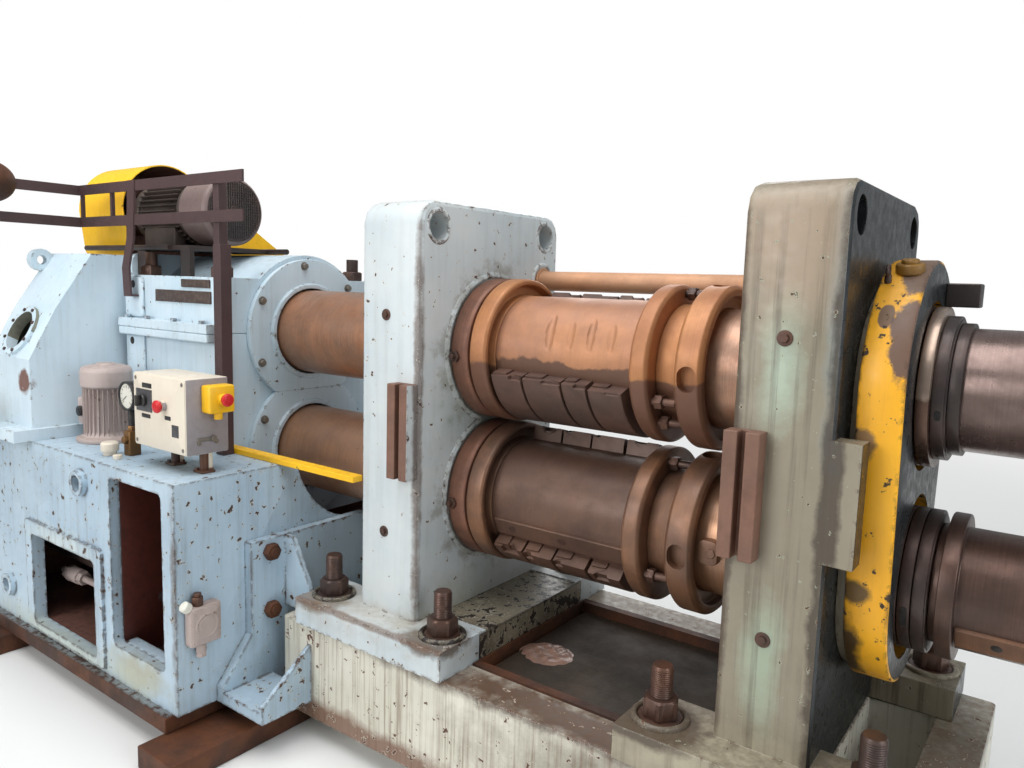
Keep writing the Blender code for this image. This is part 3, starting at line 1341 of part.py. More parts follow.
def make_gearbox_covers():
    """Round bearing covers, each cut flat where the two meet."""
    left = GEARBOX_RIGHT_X + SEAT_GAP
    meeting = (LOWER_AXIS_HEIGHT + UPPER_AXIS_HEIGHT) / 2
    bore = SHAFT_RADIUS + COVER_BORE_CLEARANCE
    for level, height in AXIS_HEIGHTS.items():
        outline = [
            (left, bore),
            (left, COVER_RADIUS),
            (left + COVER_THICKNESS, COVER_RADIUS),
            (left + COVER_THICKNESS, COVER_LIP_RADIUS),
            (left + COVER_THICKNESS + COVER_LIP_HEIGHT, COVER_LIP_RADIUS),
            (left + COVER_THICKNESS + COVER_LIP_HEIGHT, bore),
        ]
        cover = turned(f"{level}_gearbox_cover", 0, height, outline)
        near = -COVER_RADIUS - OVERRUN
        far = COVER_RADIUS + OVERRUN
        right = left + COVER_THICKNESS + COVER_LIP_HEIGHT + OVERRUN
        if level == "upper":
            low, high = height - COVER_RADIUS - OVERRUN, meeting + SEAT_GAP / 2
        else:
            low, high = meeting - SEAT_GAP / 2, height + COVER_RADIUS + OVERRUN
        cut(cover, box(f"{level}_cover_flat", (left - OVERRUN, near, low), (right, far, high)))
        keep(cover, "blue_paint")


def housing_outline():
    """Side view of the gear housing above its flange."""
    bottom = ON_CABINET + HOUSING_FLANGE_THICKNESS / 2
    return [
        (HOUSING_FRONT_Y, bottom),
        (HOUSING_FRONT_Y, HOUSING_KNEE_HEIGHT),
        (HOUSING_SHOULDER_Y, HOUSING_SHOULDER_HEIGHT),
        (HOUSING_CREST_FRONT_Y, HOUSING_TOP_HEIGHT),
        (HOUSING_CREST_REAR_Y, HOUSING_TOP_HEIGHT),
        (HOUSING_REAR_Y, HOUSING_REAR_SHOULDER_HEIGHT),
        (HOUSING_REAR_Y, bottom),
    ]


def make_gear_housing():
    """The drive-end housing: hollow, with a sloped front that carries a flanged port and a lifting ear."""
    outline = housing_outline()
    housing = slab("gear_housing", "YZ", outline, HOUSING_LEFT_X, HOUSING_RIGHT_X)
    flange_low = (
        HOUSING_LEFT_X - HOUSING_FLANGE_SIDE, HOUSING_FRONT_Y - HOUSING_FLANGE_OVERHANG, ON_CABINET
    )
    flange_high = (
        HOUSING_RIGHT_X + HOUSING_FLANGE_SIDE, HOUSING_REAR_Y + HOUSING_FLANGE_SIDE,
        ON_CABINET + HOUSING_FLANGE_THICKNESS,
    )
    join(housing, box("housing_flange", flange_low, flange_high))
    knee = Vector((HOUSING_FRONT_Y, HOUSING_KNEE_HEIGHT))
    shoulder = Vector((HOUSING_SHOULDER_Y, HOUSING_SHOULDER_HEIGHT))
    crest = Vector((HOUSING_CREST_FRONT_Y, HOUSING_TOP_HEIGHT))
    rise = (crest - shoulder).normalized()
    ear = shoulder.lerp(crest, EAR_PLACE_SHARE) + Vector((-rise.y, rise.x)) * EAR_LIFT
    join(housing, along_x(
        "housing_ear", HOUSING_LEFT_X, EAR_THICKNESS, ear.x, ear.y, EAR_RADIUS, SMALL_ROUND_STEPS,
    ))
    middle = (knee + shoulder) / 2
    slope = (shoulder - knee).normalized()
    out = Vector((0, -slope.y, slope.x))
    centre = Vector(((HOUSING_LEFT_X + HOUSING_RIGHT_X) / 2, middle.x, middle.y))
    length = 2 * HOUSING_PORT_RING_HEIGHT
    join(housing, cylinder("port_ring", centre, out, HOUSING_PORT_RING_RADIUS, length))
    hollow = slab(
        "housing_hollow", "YZ", inset_outline(outline, HOUSING_WALL),
        HOUSING_LEFT_X + HOUSING_WALL, HOUSING_RIGHT_X - HOUSING_WALL,
    )
    depth = 2 * (HOUSING_WALL + HOUSING_PORT_RING_HEIGHT + OVERRUN)
    ear_hole = along_x(
        "ear_hole", HOUSING_LEFT_X - OVERRUN, EAR_THICKNESS + 2 * OVERRUN, ear.x, ear.y, EAR_HOLE_RADIUS,
        SMALL_ROUND_STEPS,
    )
    cut(housing, hollow, cylinder("port_hole", centre, out, HOUSING_PORT_RADIUS, depth), ear_hole)
    keep(housing, "blue_paint")


def make_motor():
    """Finned main motor on its slide plate, fan cowl towards the rolls and pulley inside the guard."""
    z = MOTOR_AXIS_HEIGHT
    middle_x = (MOTOR_BODY_LEFT_X + MOTOR_BODY_RIGHT_X) / 2
    body = finned_barrel(
        "motor_body", (middle_x, MOTOR_Y, z), (1, 0, 0), MOTOR_BODY_RADIUS, MOTOR_BODY_LENGTH,
        MOTOR_FIN_HEIGHT, MOTOR_FIN_THICKNESS, MOTOR_FIN_COUNT,
    )
    for name, left in (
        ("left_shield", MOTOR_BODY_LEFT_X),
        ("right_shield", MOTOR_BODY_RIGHT_X - MOTOR_SHIELD_LENGTH),
    ):
        join(body, along_x(name, left, MOTOR_SHIELD_LENGTH, MOTOR_Y, z, MOTOR_SHIELD_RADIUS))
    for name, y in (
        ("front_foot", MOTOR_Y - MOTOR_FOOT_SPREAD),
        ("rear_foot", MOTOR_Y + MOTOR_FOOT_SPREAD - MOTOR_FOOT_WIDTH),
    ):
        low = (middle_x - MOTOR_FOOT_LENGTH / 2, y, ON_SLIDE_PLATE)
        high = (middle_x + MOTOR_FOOT_LENGTH / 2, y + MOTOR_FOOT_WIDTH, z - MOTOR_BODY_RADIUS / 2)
        join(body, box(name, low, high))
    terminal_low = (
        middle_x - MOTOR_TERMINAL_LENGTH / 2, MOTOR_Y - MOTOR_TERMINAL_DEPTH / 2,
        z + MOTOR_BODY_RADIUS / 2,
    )
    terminal_high = (
        middle_x + MOTOR_TERMINAL_LENGTH / 2, MOTOR_Y + MOTOR_TERMINAL_DEPTH / 2,
        z + MOTOR_BODY_RADIUS + MOTOR_TERMINAL_HEIGHT / 2,
    )
    join(body, box("terminal_box", terminal_low, terminal_high))
    shaft_end = GUARD_RIGHT_X - GUARD_LENGTH / 2 - MOTOR_PULLEY_WIDTH / 2
    inside = MOTOR_BODY_LEFT_X + OVERRUN
    shaft_outline = [
        (shaft_end, 0), (shaft_end, MOTOR_SHAFT_RADIUS), (inside, MOTOR_SHAFT_RADIUS), (inside, 0)
    ]
    join(body, turned("motor_shaft", MOTOR_Y, z, shaft_outline, SMALL_ROUND_STEPS))
    keep(body, "motor_grey")
    cowl_outline = [
        (MOTOR_FAN_END_X - MOTOR_COWL_LENGTH, 0),
        (MOTOR_FAN_END_X - MOTOR_COWL_LENGTH, MOTOR_COWL_RADIUS),
        (MOTOR_FAN_END_X - MOTOR_FIN_HEIGHT, MOTOR_COWL_RADIUS),
        (MOTOR_FAN_END_X, MOTOR_COWL_RADIUS - MOTOR_FIN_HEIGHT),
        (MOTOR_FAN_END_X, 0),
    ]
    keep(turned("motor_fan_cowl", MOTOR_Y, z, cowl_outline), "motor_grey")
    make_pulley(shaft_end)


def make_pulley(left):
    """Multi-groove belt pulley on the motor's shaft."""
    outer = MOTOR_PULLEY_RADIUS
    pitch = MOTOR_PULLEY_WIDTH / (MOTOR_PULLEY_GROOVES + 0.5)
    land = pitch / 4
    outline = [(left, MOTOR_SHAFT_RADIUS + SEAT_GAP), (left, outer)]
    for i in range(MOTOR_PULLEY_GROOVES):
        x = left + pitch / 2 + i * pitch
        outline += [
            (x, outer),
            (x + land, outer - MOTOR_PULLEY_GROOVE_DEPTH),
            (x + 2 * land, outer - MOTOR_PULLEY_GROOVE_DEPTH),
            (x + 3 * land, outer),
        ]
    right = left + MOTOR_PULLEY_WIDTH
    outline += [(right, outer), (right, MOTOR_SHAFT_RADIUS + SEAT_GAP)]
    keep(turned("motor_pulley", MOTOR_Y, MOTOR_AXIS_HEIGHT, outline, SMALL_ROUND_STEPS), "dark_steel")


def make_slide_plate():
    """The plate the motor stands on, with two legs on the gearbox shoulder and its two pivot rods."""
    left = SLIDE_PLATE_LEFT_X
    right = left + SLIDE_PLATE_LENGTH
    top = SLIDE_PLATE_HEIGHT + SLIDE_PLATE_THICKNESS
    middle_z = SLIDE_PLATE_HEIGHT + SLIDE_PLATE_THICKNESS / 2
    low = (left, SLIDE_PLATE_FRONT_Y, SLIDE_PLATE_HEIGHT)
    plate = box("slide_plate", low, (right, SLIDE_PLATE_REAR_Y, top))
    leg_left = max(left, GEARBOX_LEFT_X + END_WALL_SEAT + SEAT_GAP)
    for name, x in (("left_leg", leg_left), ("right_leg", right - SLIDE_LEG_WIDTH)):
        low = (x, SLIDE_PLATE_FRONT_Y, GEARBOX_SHOULDER_HEIGHT + SEAT_GAP)
        high = (x + SLIDE_LEG_WIDTH, SLIDE_PLATE_FRONT_Y + SLIDE_LEG_THICKNESS, middle_z)
        join(plate, box(f"slide_{name}", low, high))
    front_y = SLIDE_PLATE_FRONT_Y - PIVOT_ROD_RADIUS / 2
    rear_y = SLIDE_PLATE_REAR_Y + PIVOT_ROD_RADIUS / 2
    for name, x, length, y in (
        ("front_rod", PIVOT_ROD_LEFT_X, PIVOT_ROD_LENGTH, front_y),
        ("rear_rod", REAR_ROD_LEFT_X, REAR_ROD_LENGTH, rear_y),
    ):
        join(plate, along_x(name, x, length, y, middle_z, PIVOT_ROD_RADIUS, SMALL_ROUND_STEPS))
    keep(plate, "dark_steel")


def guard_outline():
    """The closed loop round the motor pulley and the flywheel pulley, with a corner in front."""
    small = Vector((GUARD_SMALL_Y, GUARD_SMALL_HEIGHT))
    large = Vector((GUARD_LARGE_Y, GUARD_LARGE_HEIGHT))
    corner = Vector((GUARD_CORNER_Y, GUARD_CORNER_HEIGHT))
    reach = large - small
    heading = math.degrees(math.atan2(reach.y, reach.x))
    lean = math.degrees(math.asin((GUARD_LARGE_RADIUS - GUARD_SMALL_RADIUS) / reach.length))
    over = heading + 90 + lean
    back = corner - large
    under = math.degrees(math.atan2(back.y, back.x) + math.acos(GUARD_LARGE_RADIUS / back.length))
    points = arc(small, GUARD_SMALL_RADIUS, over, 180, SMALL_ROUND_STEPS)
    points.append((corner.x, corner.y))
    points += arc(large, GUARD_LARGE_RADIUS, under - 360, over, SMALL_ROUND_STEPS)
    return points


def make_belt_guard():
    """Sheet guard round the belt drive, open towards the motor at its upper end."""
    outline = guard_outline()
    inner = inset_outline(outline, GUARD_WALL)
    guard = slab("belt_guard", "YZ", outline, GUARD_LEFT_X, GUARD_RIGHT_X)
    half = GUARD_FOOT_LENGTH / 2
    foot_low = (GUARD_LEFT_X, GUARD_LARGE_Y - half, ON_CABINET)
    foot_high = (GUARD_RIGHT_X, GUARD_LARGE_Y + half, ON_CABINET + GUARD_FOOT_HEIGHT)
    join(guard, box("guard_foot", foot_low, foot_high))
    inside = slab("guard_inside", "YZ", inner, GUARD_LEFT_X + GUARD_WALL, GUARD_RIGHT_X - GUARD_WALL)
    mouth = slab("guard_mouth", "YZ", inner, GUARD_RIGHT_X - 2 * GUARD_WALL, GUARD_RIGHT_X + OVERRUN)
    near = GUARD_SMALL_Y + GUARD_MOUTH_REACH
    far = GUARD_LARGE_Y + GUARD_LARGE_RADIUS + OVERRUN
    trim = box(
        "mouth_trim",
        (GUARD_RIGHT_X - 3 * GUARD_WALL, near, GUARD_LARGE_HEIGHT - GUARD_LARGE_RADIUS - OVERRUN),
        (GUARD_RIGHT_X + 2 * OVERRUN, far, GUARD_SMALL_HEIGHT + GUARD_SMALL_RADIUS + OVERRUN),
    )
    cut(mouth, trim)
    cut(guard, inside, mouth)
    keep(guard, "yellow_paint")


def make_rails():
    """Flat-bar rail along the motor, turned at its left corner towards the lamp."""
    half = RAIL_THICKNESS / 2
    upright = RAIL_WIDTH / 2
    name = "rail_frame"
    rails = None
    for level, z, front in (
        ("upper", RAIL_UPPER_HEIGHT, RAIL_FRONT_Y),
        ("lower", RAIL_LOWER_HEIGHT, RAIL_LOWER_FRONT_Y),
    ):
        run = box(
            name if rails is None else f"{level}_run",
            (RAIL_CORNER_X, RAIL_Y - half, z - upright), (RAIL_RIGHT_X, RAIL_Y + half, z + upright),
        )
        turn = box(
            f"{level}_turn",
            (RAIL_CORNER_X, front, z - upright), (RAIL_CORNER_X + RAIL_THICKNESS, RAIL_Y, z + upright),
        )
        if rails is None:
            rails = run
        else:
            join(rails, run)
        join(rails, turn)
    lower = RAIL_LOWER_HEIGHT - upright
    upper = RAIL_UPPER_HEIGHT + upright
    bends = (
        (RAIL_LEG_TOP_X, upper),
        (RAIL_LEG_UPPER_BEND_X, RAIL_LEG_UPPER_BEND_HEIGHT),
        (RAIL_LEG_LOWER_BEND_X, RAIL_LEG_LOWER_BEND_HEIGHT),
        (RAIL_LEG_BOTTOM_X, RAIL_LEG_BOTTOM_HEIGHT),
    )
    outline = [(x - RAIL_LEG_WIDTH / 2, z) for x, z in bends]
    outline += [(x + RAIL_LEG_WIDTH / 2, z) for x, z in reversed(bends)]
    leg_front = RAIL_Y - RAIL_THICKNESS
    join(rails, slab("rail_leg", "XZ", outline, leg_front, RAIL_Y + half / 2))
    leg_foot = box(
        "rail_leg_foot",
        (RAIL_LEG_BOTTOM_X - RAIL_LEG_WIDTH / 2, leg_front, RAIL_LEG_BOTTOM_HEIGHT),
        (
            RAIL_LEG_BOTTOM_X + RAIL_LEG_WIDTH / 2,
            -GEARBOX_HALF_DEPTH - SEAT_GAP,
            RAIL_LEG_BOTTOM_HEIGHT + RAIL_THICKNESS,
        ),
    )
    join(rails, leg_foot)
    for i in range(2):
        x = RAIL_CORNER_X + RAIL_THICKNESS + RAIL_STUB_SPACING * i
        stub = box(
            f"rail_stub_{i + 1}",
            (x, RAIL_Y + half / 2, lower + upright),
            (x + RAIL_THICKNESS * 2, RAIL_Y + RAIL_THICKNESS * 2, upper - upright),
        )
        join(rails, stub)
    keep(rails, "brown_primer")
    x = RAIL_POST_X
    rear = RAIL_Y + half + SEAT_GAP
    post = box(
        "rail_post",
        (x - RAIL_POST_SIDE / 2, rear, ON_CABINET),
        (x + RAIL_POST_SIDE / 2, rear + RAIL_POST_SIDE, RAIL_POST_SPLICE_HEIGHT),
    )
    slim = box(
        "rail_post_slim",
        (x - RAIL_POST_SLIM_SIDE / 2, rear, RAIL_POST_SPLICE_HEIGHT - OVERRUN),
        (x + RAIL_POST_SLIM_SIDE / 2, rear + RAIL_POST_SLIM_SIDE, upper),
    )
    keep(join(post, slim), "brown_primer")
    lamp_outline = [
        (0, 0), (0, LAMP_RADIUS),
        (LAMP_DEPTH / 3, LAMP_RADIUS), (LAMP_DEPTH * 2 / 3, LAMP_RADIUS * 0.8),
        (LAMP_DEPTH * 0.9, LAMP_RADIUS * 0.45), (LAMP_DEPTH, LAMP_RADIUS * 0.2), (LAMP_DEPTH, 0),
    ]
    lamp = turned("work_lamp", 0, 0, lamp_outline, SMALL_ROUND_STEPS)
    lamp_y = RAIL_FRONT_Y - SEAT_GAP - LAMP_DEPTH
    lamp.location = (RAIL_CORNER_X + RAIL_THICKNESS / 2, lamp_y, RAIL_UPPER_HEIGHT)
    lamp.rotation_euler = (math.radians(-90), 0, 0)
    keep(lamp, "turned_steel")


def make_pump():
    """Vertical pump motor with fins, cowl and a side terminal box."""
    place = (PUMP_X, PUMP_Y)
    flange_z = ON_CABINET + PUMP_FLANGE_THICKNESS / 2
    body_z = ON_CABINET + PUMP_FLANGE_THICKNESS + PUMP_BODY_HEIGHT / 2
    body = finned_barrel(
        "pump_motor", (*place, body_z), (0, 0, 1), PUMP_BODY_RADIUS, PUMP_BODY_HEIGHT + 2 * SEAT_GAP,
        PUMP_FIN_HEIGHT, PUMP_FIN_THICKNESS, PUMP_FIN_COUNT,
    )
    flange_place = (*place, flange_z)
    join(body, cylinder("pump_flange", flange_place, (0, 0, 1), PUMP_FLANGE_RADIUS, PUMP_FLANGE_THICKNESS))
    cowl_z = ON_CABINET + PUMP_FLANGE_THICKNESS + PUMP_BODY_HEIGHT + PUMP_COWL_HEIGHT / 2
    join(body, cylinder("pump_cowl", (*place, cowl_z), (0, 0, 1), PUMP_COWL_RADIUS, PUMP_COWL_HEIGHT))
    low_z = ON_CABINET + PUMP_BOX_LIFT
    left = PUMP_X - PUMP_BODY_RADIUS - PUMP_BOX_DEPTH
    low = (left, PUMP_Y - PUMP_BOX_SIDE / 2, low_z)
    high = (PUMP_X, PUMP_Y + PUMP_BOX_SIDE / 2, low_z + PUMP_BOX_HEIGHT)
    join(body, box("pump_terminal_box", low, high))
    keep(body, "pale_paint")


def make_gauge_and_caps():
    block = box(
        "pressure_gauge",
        (GAUGE_X - GAUGE_BLOCK_SIDE / 2, GAUGE_Y - GAUGE_BLOCK_SIDE / 2, ON_CABINET),
        (GAUGE_X + GAUGE_BLOCK_SIDE / 2, GAUGE_Y + GAUGE_BLOCK_SIDE / 2, ON_CABINET + GAUGE_BLOCK_HEIGHT),
    )
    stem_height = GAUGE_HEIGHT - ON_CABINET - GAUGE_BLOCK_HEIGHT / 2
    stem_z = GAUGE_HEIGHT - stem_height / 2
    join(block, cylinder(
        "gauge_stem", (GAUGE_X, GAUGE_Y, stem_z), (0, 0, 1), GAUGE_STEM_RADIUS, stem_height,
        SMALL_ROUND_STEPS,
    ))
    dial_place = (GAUGE_X, GAUGE_Y, GAUGE_HEIGHT)
    join(block, cylinder("gauge_case", dial_place, (0, 1, 0), GAUGE_RADIUS, GAUGE_DEPTH))
    keep(block, "black_plastic")
    neck_z = ON_CABINET + FILLER_NECK_HEIGHT / 2
    cap_z = ON_CABINET + FILLER_NECK_HEIGHT + FILLER_HEIGHT / 2
    neck = cylinder(
        "filler_cap", (FILLER_X, FILLER_Y, neck_z), (0, 0, 1), FILLER_NECK_RADIUS, FILLER_NECK_HEIGHT,
        SMALL_ROUND_STEPS,
    )
    join(neck, cylinder(
        "filler_top", (FILLER_X, FILLER_Y, cap_z), (0, 0, 1), FILLER_RADIUS, FILLER_HEIGHT + SEAT_GAP,
        SMALL_ROUND_STEPS,
    ))
    keep(neck, "cream_paint")


def button(name, face, direction):
    """A mushroom push button whose stem slides in its socket; face is the point where it leaves the box."""
    out = Vector(direction)
    face = Vector(face)
    stem_start = -BUTTON_SOCKET_DEPTH + BUTTON_TRAVEL + SEAT_GAP
    stem_end = BUTTON_COLLAR_HEIGHT + BUTTON_TRAVEL + 2 * SEAT_GAP
    stem = cylinder(
        name, face + out * (stem_start + stem_end) / 2, direction, BUTTON_STEM_RADIUS, stem_end - stem_start,
        SMALL_ROUND_STEPS,
    )
    head_middle = stem_end + BUTTON_HEAD_HEIGHT / 2 - SEAT_GAP
    head = cylinder(
        f"{name}_head", face + out * head_middle, direction, BUTTON_HEAD_RADIUS, BUTTON_HEAD_HEIGHT,
        SMALL_ROUND_STEPS,
    )
    return join(stem, soften(head, BUTTON_HEAD_HEIGHT / 4))


def button_seat(target, name, face, direction):
    """The collar round a button and the blind socket behind it."""
    out = Vector(direction)
    face = Vector(face)
    collar = cylinder(
        f"{name}_collar", face + out * (BUTTON_COLLAR_HEIGHT / 2 - OVERRUN / 4), direction,
        BUTTON_COLLAR_RADIUS, BUTTON_COLLAR_HEIGHT + OVERRUN / 2, SMALL_ROUND_STEPS,
    )
    join(target, collar)
    start = -BUTTON_SOCKET_DEPTH
    end = BUTTON_COLLAR_HEIGHT + OVERRUN
    socket = cylinder(
        f"{name}_socket", face + out * (start + end) / 2, direction,
        BUTTON_STEM_RADIUS + RUNNING_GAP / 2, end - start, SMALL_ROUND_STEPS,
    )
    cut(target, socket)


def make_control_box():
    """Operator's box on two legs, with a selector and a stop button in front."""
    left, front, bottom = CONTROL_LEFT_X, CONTROL_FRONT_Y, CONTROL_BOTTOM_HEIGHT
    right = left + CONTROL_WIDTH
    top_corner = (right, front + CONTROL_DEPTH, bottom + CONTROL_HEIGHT)
    panel = box("control_box", (left, front, bottom), top_corner)
    soften(panel, CONTROL_EDGE_RADIUS)
    for i, share in enumerate(CONTROL_LEG_SHARES):
        x = left + CONTROL_WIDTH * share
        height = bottom - ON_CABINET + CONTROL_LEG_RADIUS
        centre = (x, front + CONTROL_DEPTH * 0.6, ON_CABINET + height / 2)
        leg_name = f"control_leg_{i + 1}"
        join(panel, cylinder(leg_name, centre, (0, 0, 1), CONTROL_LEG_RADIUS, height, SMALL_ROUND_STEPS))
    stop_face = (left + CONTROL_WIDTH * STOP_X_SHARE, front, bottom + CONTROL_HEIGHT * STOP_HEIGHT_SHARE)
    button_seat(panel, "stop", stop_face, (0, -1, 0))
    keep(panel, "cream_paint")
    stop_origin = empty("stop_button_origin", stop_face)
    hang(keep(button("stop_button", stop_face, (0, -1, 0)), "red_plastic"), stop_origin)
    make_selector()


def make_selector():
    face = Vector((
        CONTROL_LEFT_X + CONTROL_WIDTH * SELECTOR_X_SHARE,
        CONTROL_FRONT_Y - SEAT_GAP,
        CONTROL_BOTTOM_HEIGHT + CONTROL_HEIGHT * SELECTOR_HEIGHT_SHARE,
    ))
    origin = empty("selector_axis", face)
    disc = cylinder(
        "selector_knob", face - Vector((0, SELECTOR_DEPTH / 2, 0)), (0, -1, 0),
        SELECTOR_RADIUS, SELECTOR_DEPTH, SMALL_ROUND_STEPS,
    )
    grip_front = face.y - SELECTOR_DEPTH - SELECTOR_GRIP_HEIGHT
    grip = box(
        "selector_grip",
        (face.x - SELECTOR_GRIP_WIDTH / 2, grip_front, face.z - SELECTOR_RADIUS * 0.9),
        (face.x + SELECTOR_GRIP_WIDTH / 2, face.y - SELECTOR_DEPTH / 2, face.z + SELECTOR_RADIUS * 0.9),
    )
    hang(keep(join(disc, grip), "black_plastic"), origin)


def make_estop():
    left = CONTROL_LEFT_X + CONTROL_WIDTH + SEAT_GAP
    case = box(
        "estop_box",
        (left, ESTOP_Y - ESTOP_SIDE / 2, ESTOP_BOTTOM_HEIGHT),
        (left + ESTOP_DEPTH, ESTOP_Y + ESTOP_SIDE / 2, ESTOP_BOTTOM_HEIGHT + ESTOP_HEIGHT),
    )
    soften(case, ESTOP_EDGE_RADIUS)
    gland_z = ESTOP_BOTTOM_HEIGHT - ESTOP_GLAND_LENGTH / 2 + ESTOP_EDGE_RADIUS
    gland = cylinder(
        "estop_gland", (left + ESTOP_DEPTH / 2, ESTOP_Y, gland_z), (0, 0, 1),
        ESTOP_GLAND_RADIUS, ESTOP_GLAND_LENGTH, SMALL_ROUND_STEPS,
    )
    join(case, gland)
    face = (left + ESTOP_DEPTH, ESTOP_Y, ESTOP_BOTTOM_HEIGHT + ESTOP_HEIGHT / 2)
    button_seat(case, "estop", face, (1, 0, 0))
    keep(case, "yellow_paint")
    origin = empty("estop_button_origin", face)
    hang(keep(button("estop_button", face, (1, 0, 0)), "red_plastic"), origin)


def make_junction_box():
    left = CABINET_RIGHT_X + SEAT_GAP
    case = box(
        "junction_box",
        (left, JUNCTION_Y - JUNCTION_SIDE / 2, JUNCTION_BOTTOM_HEIGHT),
        (left + JUNCTION_DEPTH, JUNCTION_Y + JUNCTION_SIDE / 2, JUNCTION_BOTTOM_HEIGHT + JUNCTION_HEIGHT),
    )
    keep(soften(case, JUNCTION_EDGE_RADIUS), "pale_paint")


def make_front_bar():
    low = (BAR_LEFT_X, BAR_FRONT_Y, ON_CABINET)
    high = (INNER_STAND_X - SEAT_GAP, BAR_FRONT_Y + BAR_DEPTH, ON_CABINET + BAR_THICKNESS)
    keep(box("front_bar", low, high), "yellow_paint")


clear_scene()
PARTS = new_collection("roll_forging_machine")
TOOLS = new_collection("tools")
MATERIALS = {name: make_material(name) for name in FINISHES}
make_sleepers()
make_base_frame()
make_scale_tray()
make_stands()
make_apron_plate()
make_guide_channels()
make_tie_rod()
make_bearing_rings()
make_rolls()
make_end_plate()
make_cabinet()
make_oil_line()
make_link_brackets()
make_gearbox()
make_gearbox_covers()
make_gear_housing()
make_motor()
make_slide_plate()
make_belt_guard()
make_rails()
make_pump()
make_gauge_and_caps()
make_control_box()
make_estop()
make_junction_box()
make_front_bar()
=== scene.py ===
import math

import bmesh
import bpy
import numpy as np
from mathutils import Matrix, Vector


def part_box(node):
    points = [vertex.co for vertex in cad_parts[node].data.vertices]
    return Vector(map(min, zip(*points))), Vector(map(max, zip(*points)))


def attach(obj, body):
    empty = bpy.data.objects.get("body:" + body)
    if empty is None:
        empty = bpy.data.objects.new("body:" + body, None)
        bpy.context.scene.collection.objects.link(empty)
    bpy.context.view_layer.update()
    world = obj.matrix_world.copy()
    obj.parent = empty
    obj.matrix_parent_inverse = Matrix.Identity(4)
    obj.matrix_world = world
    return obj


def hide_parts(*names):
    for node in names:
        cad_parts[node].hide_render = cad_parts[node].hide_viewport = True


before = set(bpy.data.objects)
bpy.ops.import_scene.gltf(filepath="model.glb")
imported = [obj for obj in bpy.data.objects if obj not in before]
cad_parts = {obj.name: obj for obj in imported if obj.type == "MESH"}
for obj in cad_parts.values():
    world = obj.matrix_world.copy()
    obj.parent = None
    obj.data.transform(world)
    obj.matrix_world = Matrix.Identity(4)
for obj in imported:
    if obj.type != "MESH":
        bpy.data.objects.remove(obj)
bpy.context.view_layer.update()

upperZ = 1.055
lowerZ = 0.685
axisZ = {"upper": upperZ, "lower": lowerZ}
full = 2 * math.pi


# sRGB to linear: c / 12.92 below 0.04045, else ((c + 0.055) / 1.055) to the power 2.4
def tint(code):
    parts = [int(code[i:i + 2], 16) / 255 for i in (1, 3, 5)]
    return (*[p / 12.92 if p <= 0.04045 else ((p + 0.055) / 1.055) ** 2.4 for p in parts], 1)


# adds one shader node: settings by name, inputs by socket, a socket as value is linked
def add(tree, kind, inputs=None, out=0, **settings):
    node = tree.nodes.new("ShaderNode" + kind)
    for name, value in settings.items():
        setattr(node, name, value)
    for key, value in (inputs or {}).items():
        if isinstance(value, bpy.types.NodeSocket):
            tree.links.new(value, node.inputs[key])
        else:
            node.inputs[key].default_value = value
    return node.outputs[out]


def blank(name):
    material = bpy.data.materials.new(name)
    material.use_nodes = True
    tree = material.node_tree
    return material, tree, tree.nodes["Principled BSDF"]


# a cloud round a point: 1 in its middle, 0 past its radii, the rim broken by noise
def cloud(tree, place, noise, centre, radii, soft):
    inside = add(tree, "Mapping", {"Vector": place, "Location": [-c / r for c, r in zip(centre, radii)], "Scale": [1 / r for r in radii]})
    far = add(tree, "VectorMath", {0: inside}, 1, operation="LENGTH")
    far = add(tree, "Math", {0: noise, 1: 1.4, 2: far}, operation="MULTIPLY_ADD")
    return add(tree, "MapRange", {"Value": far, 1: 1.7 - soft, 2: 1.7, 3: 1, 4: 0})


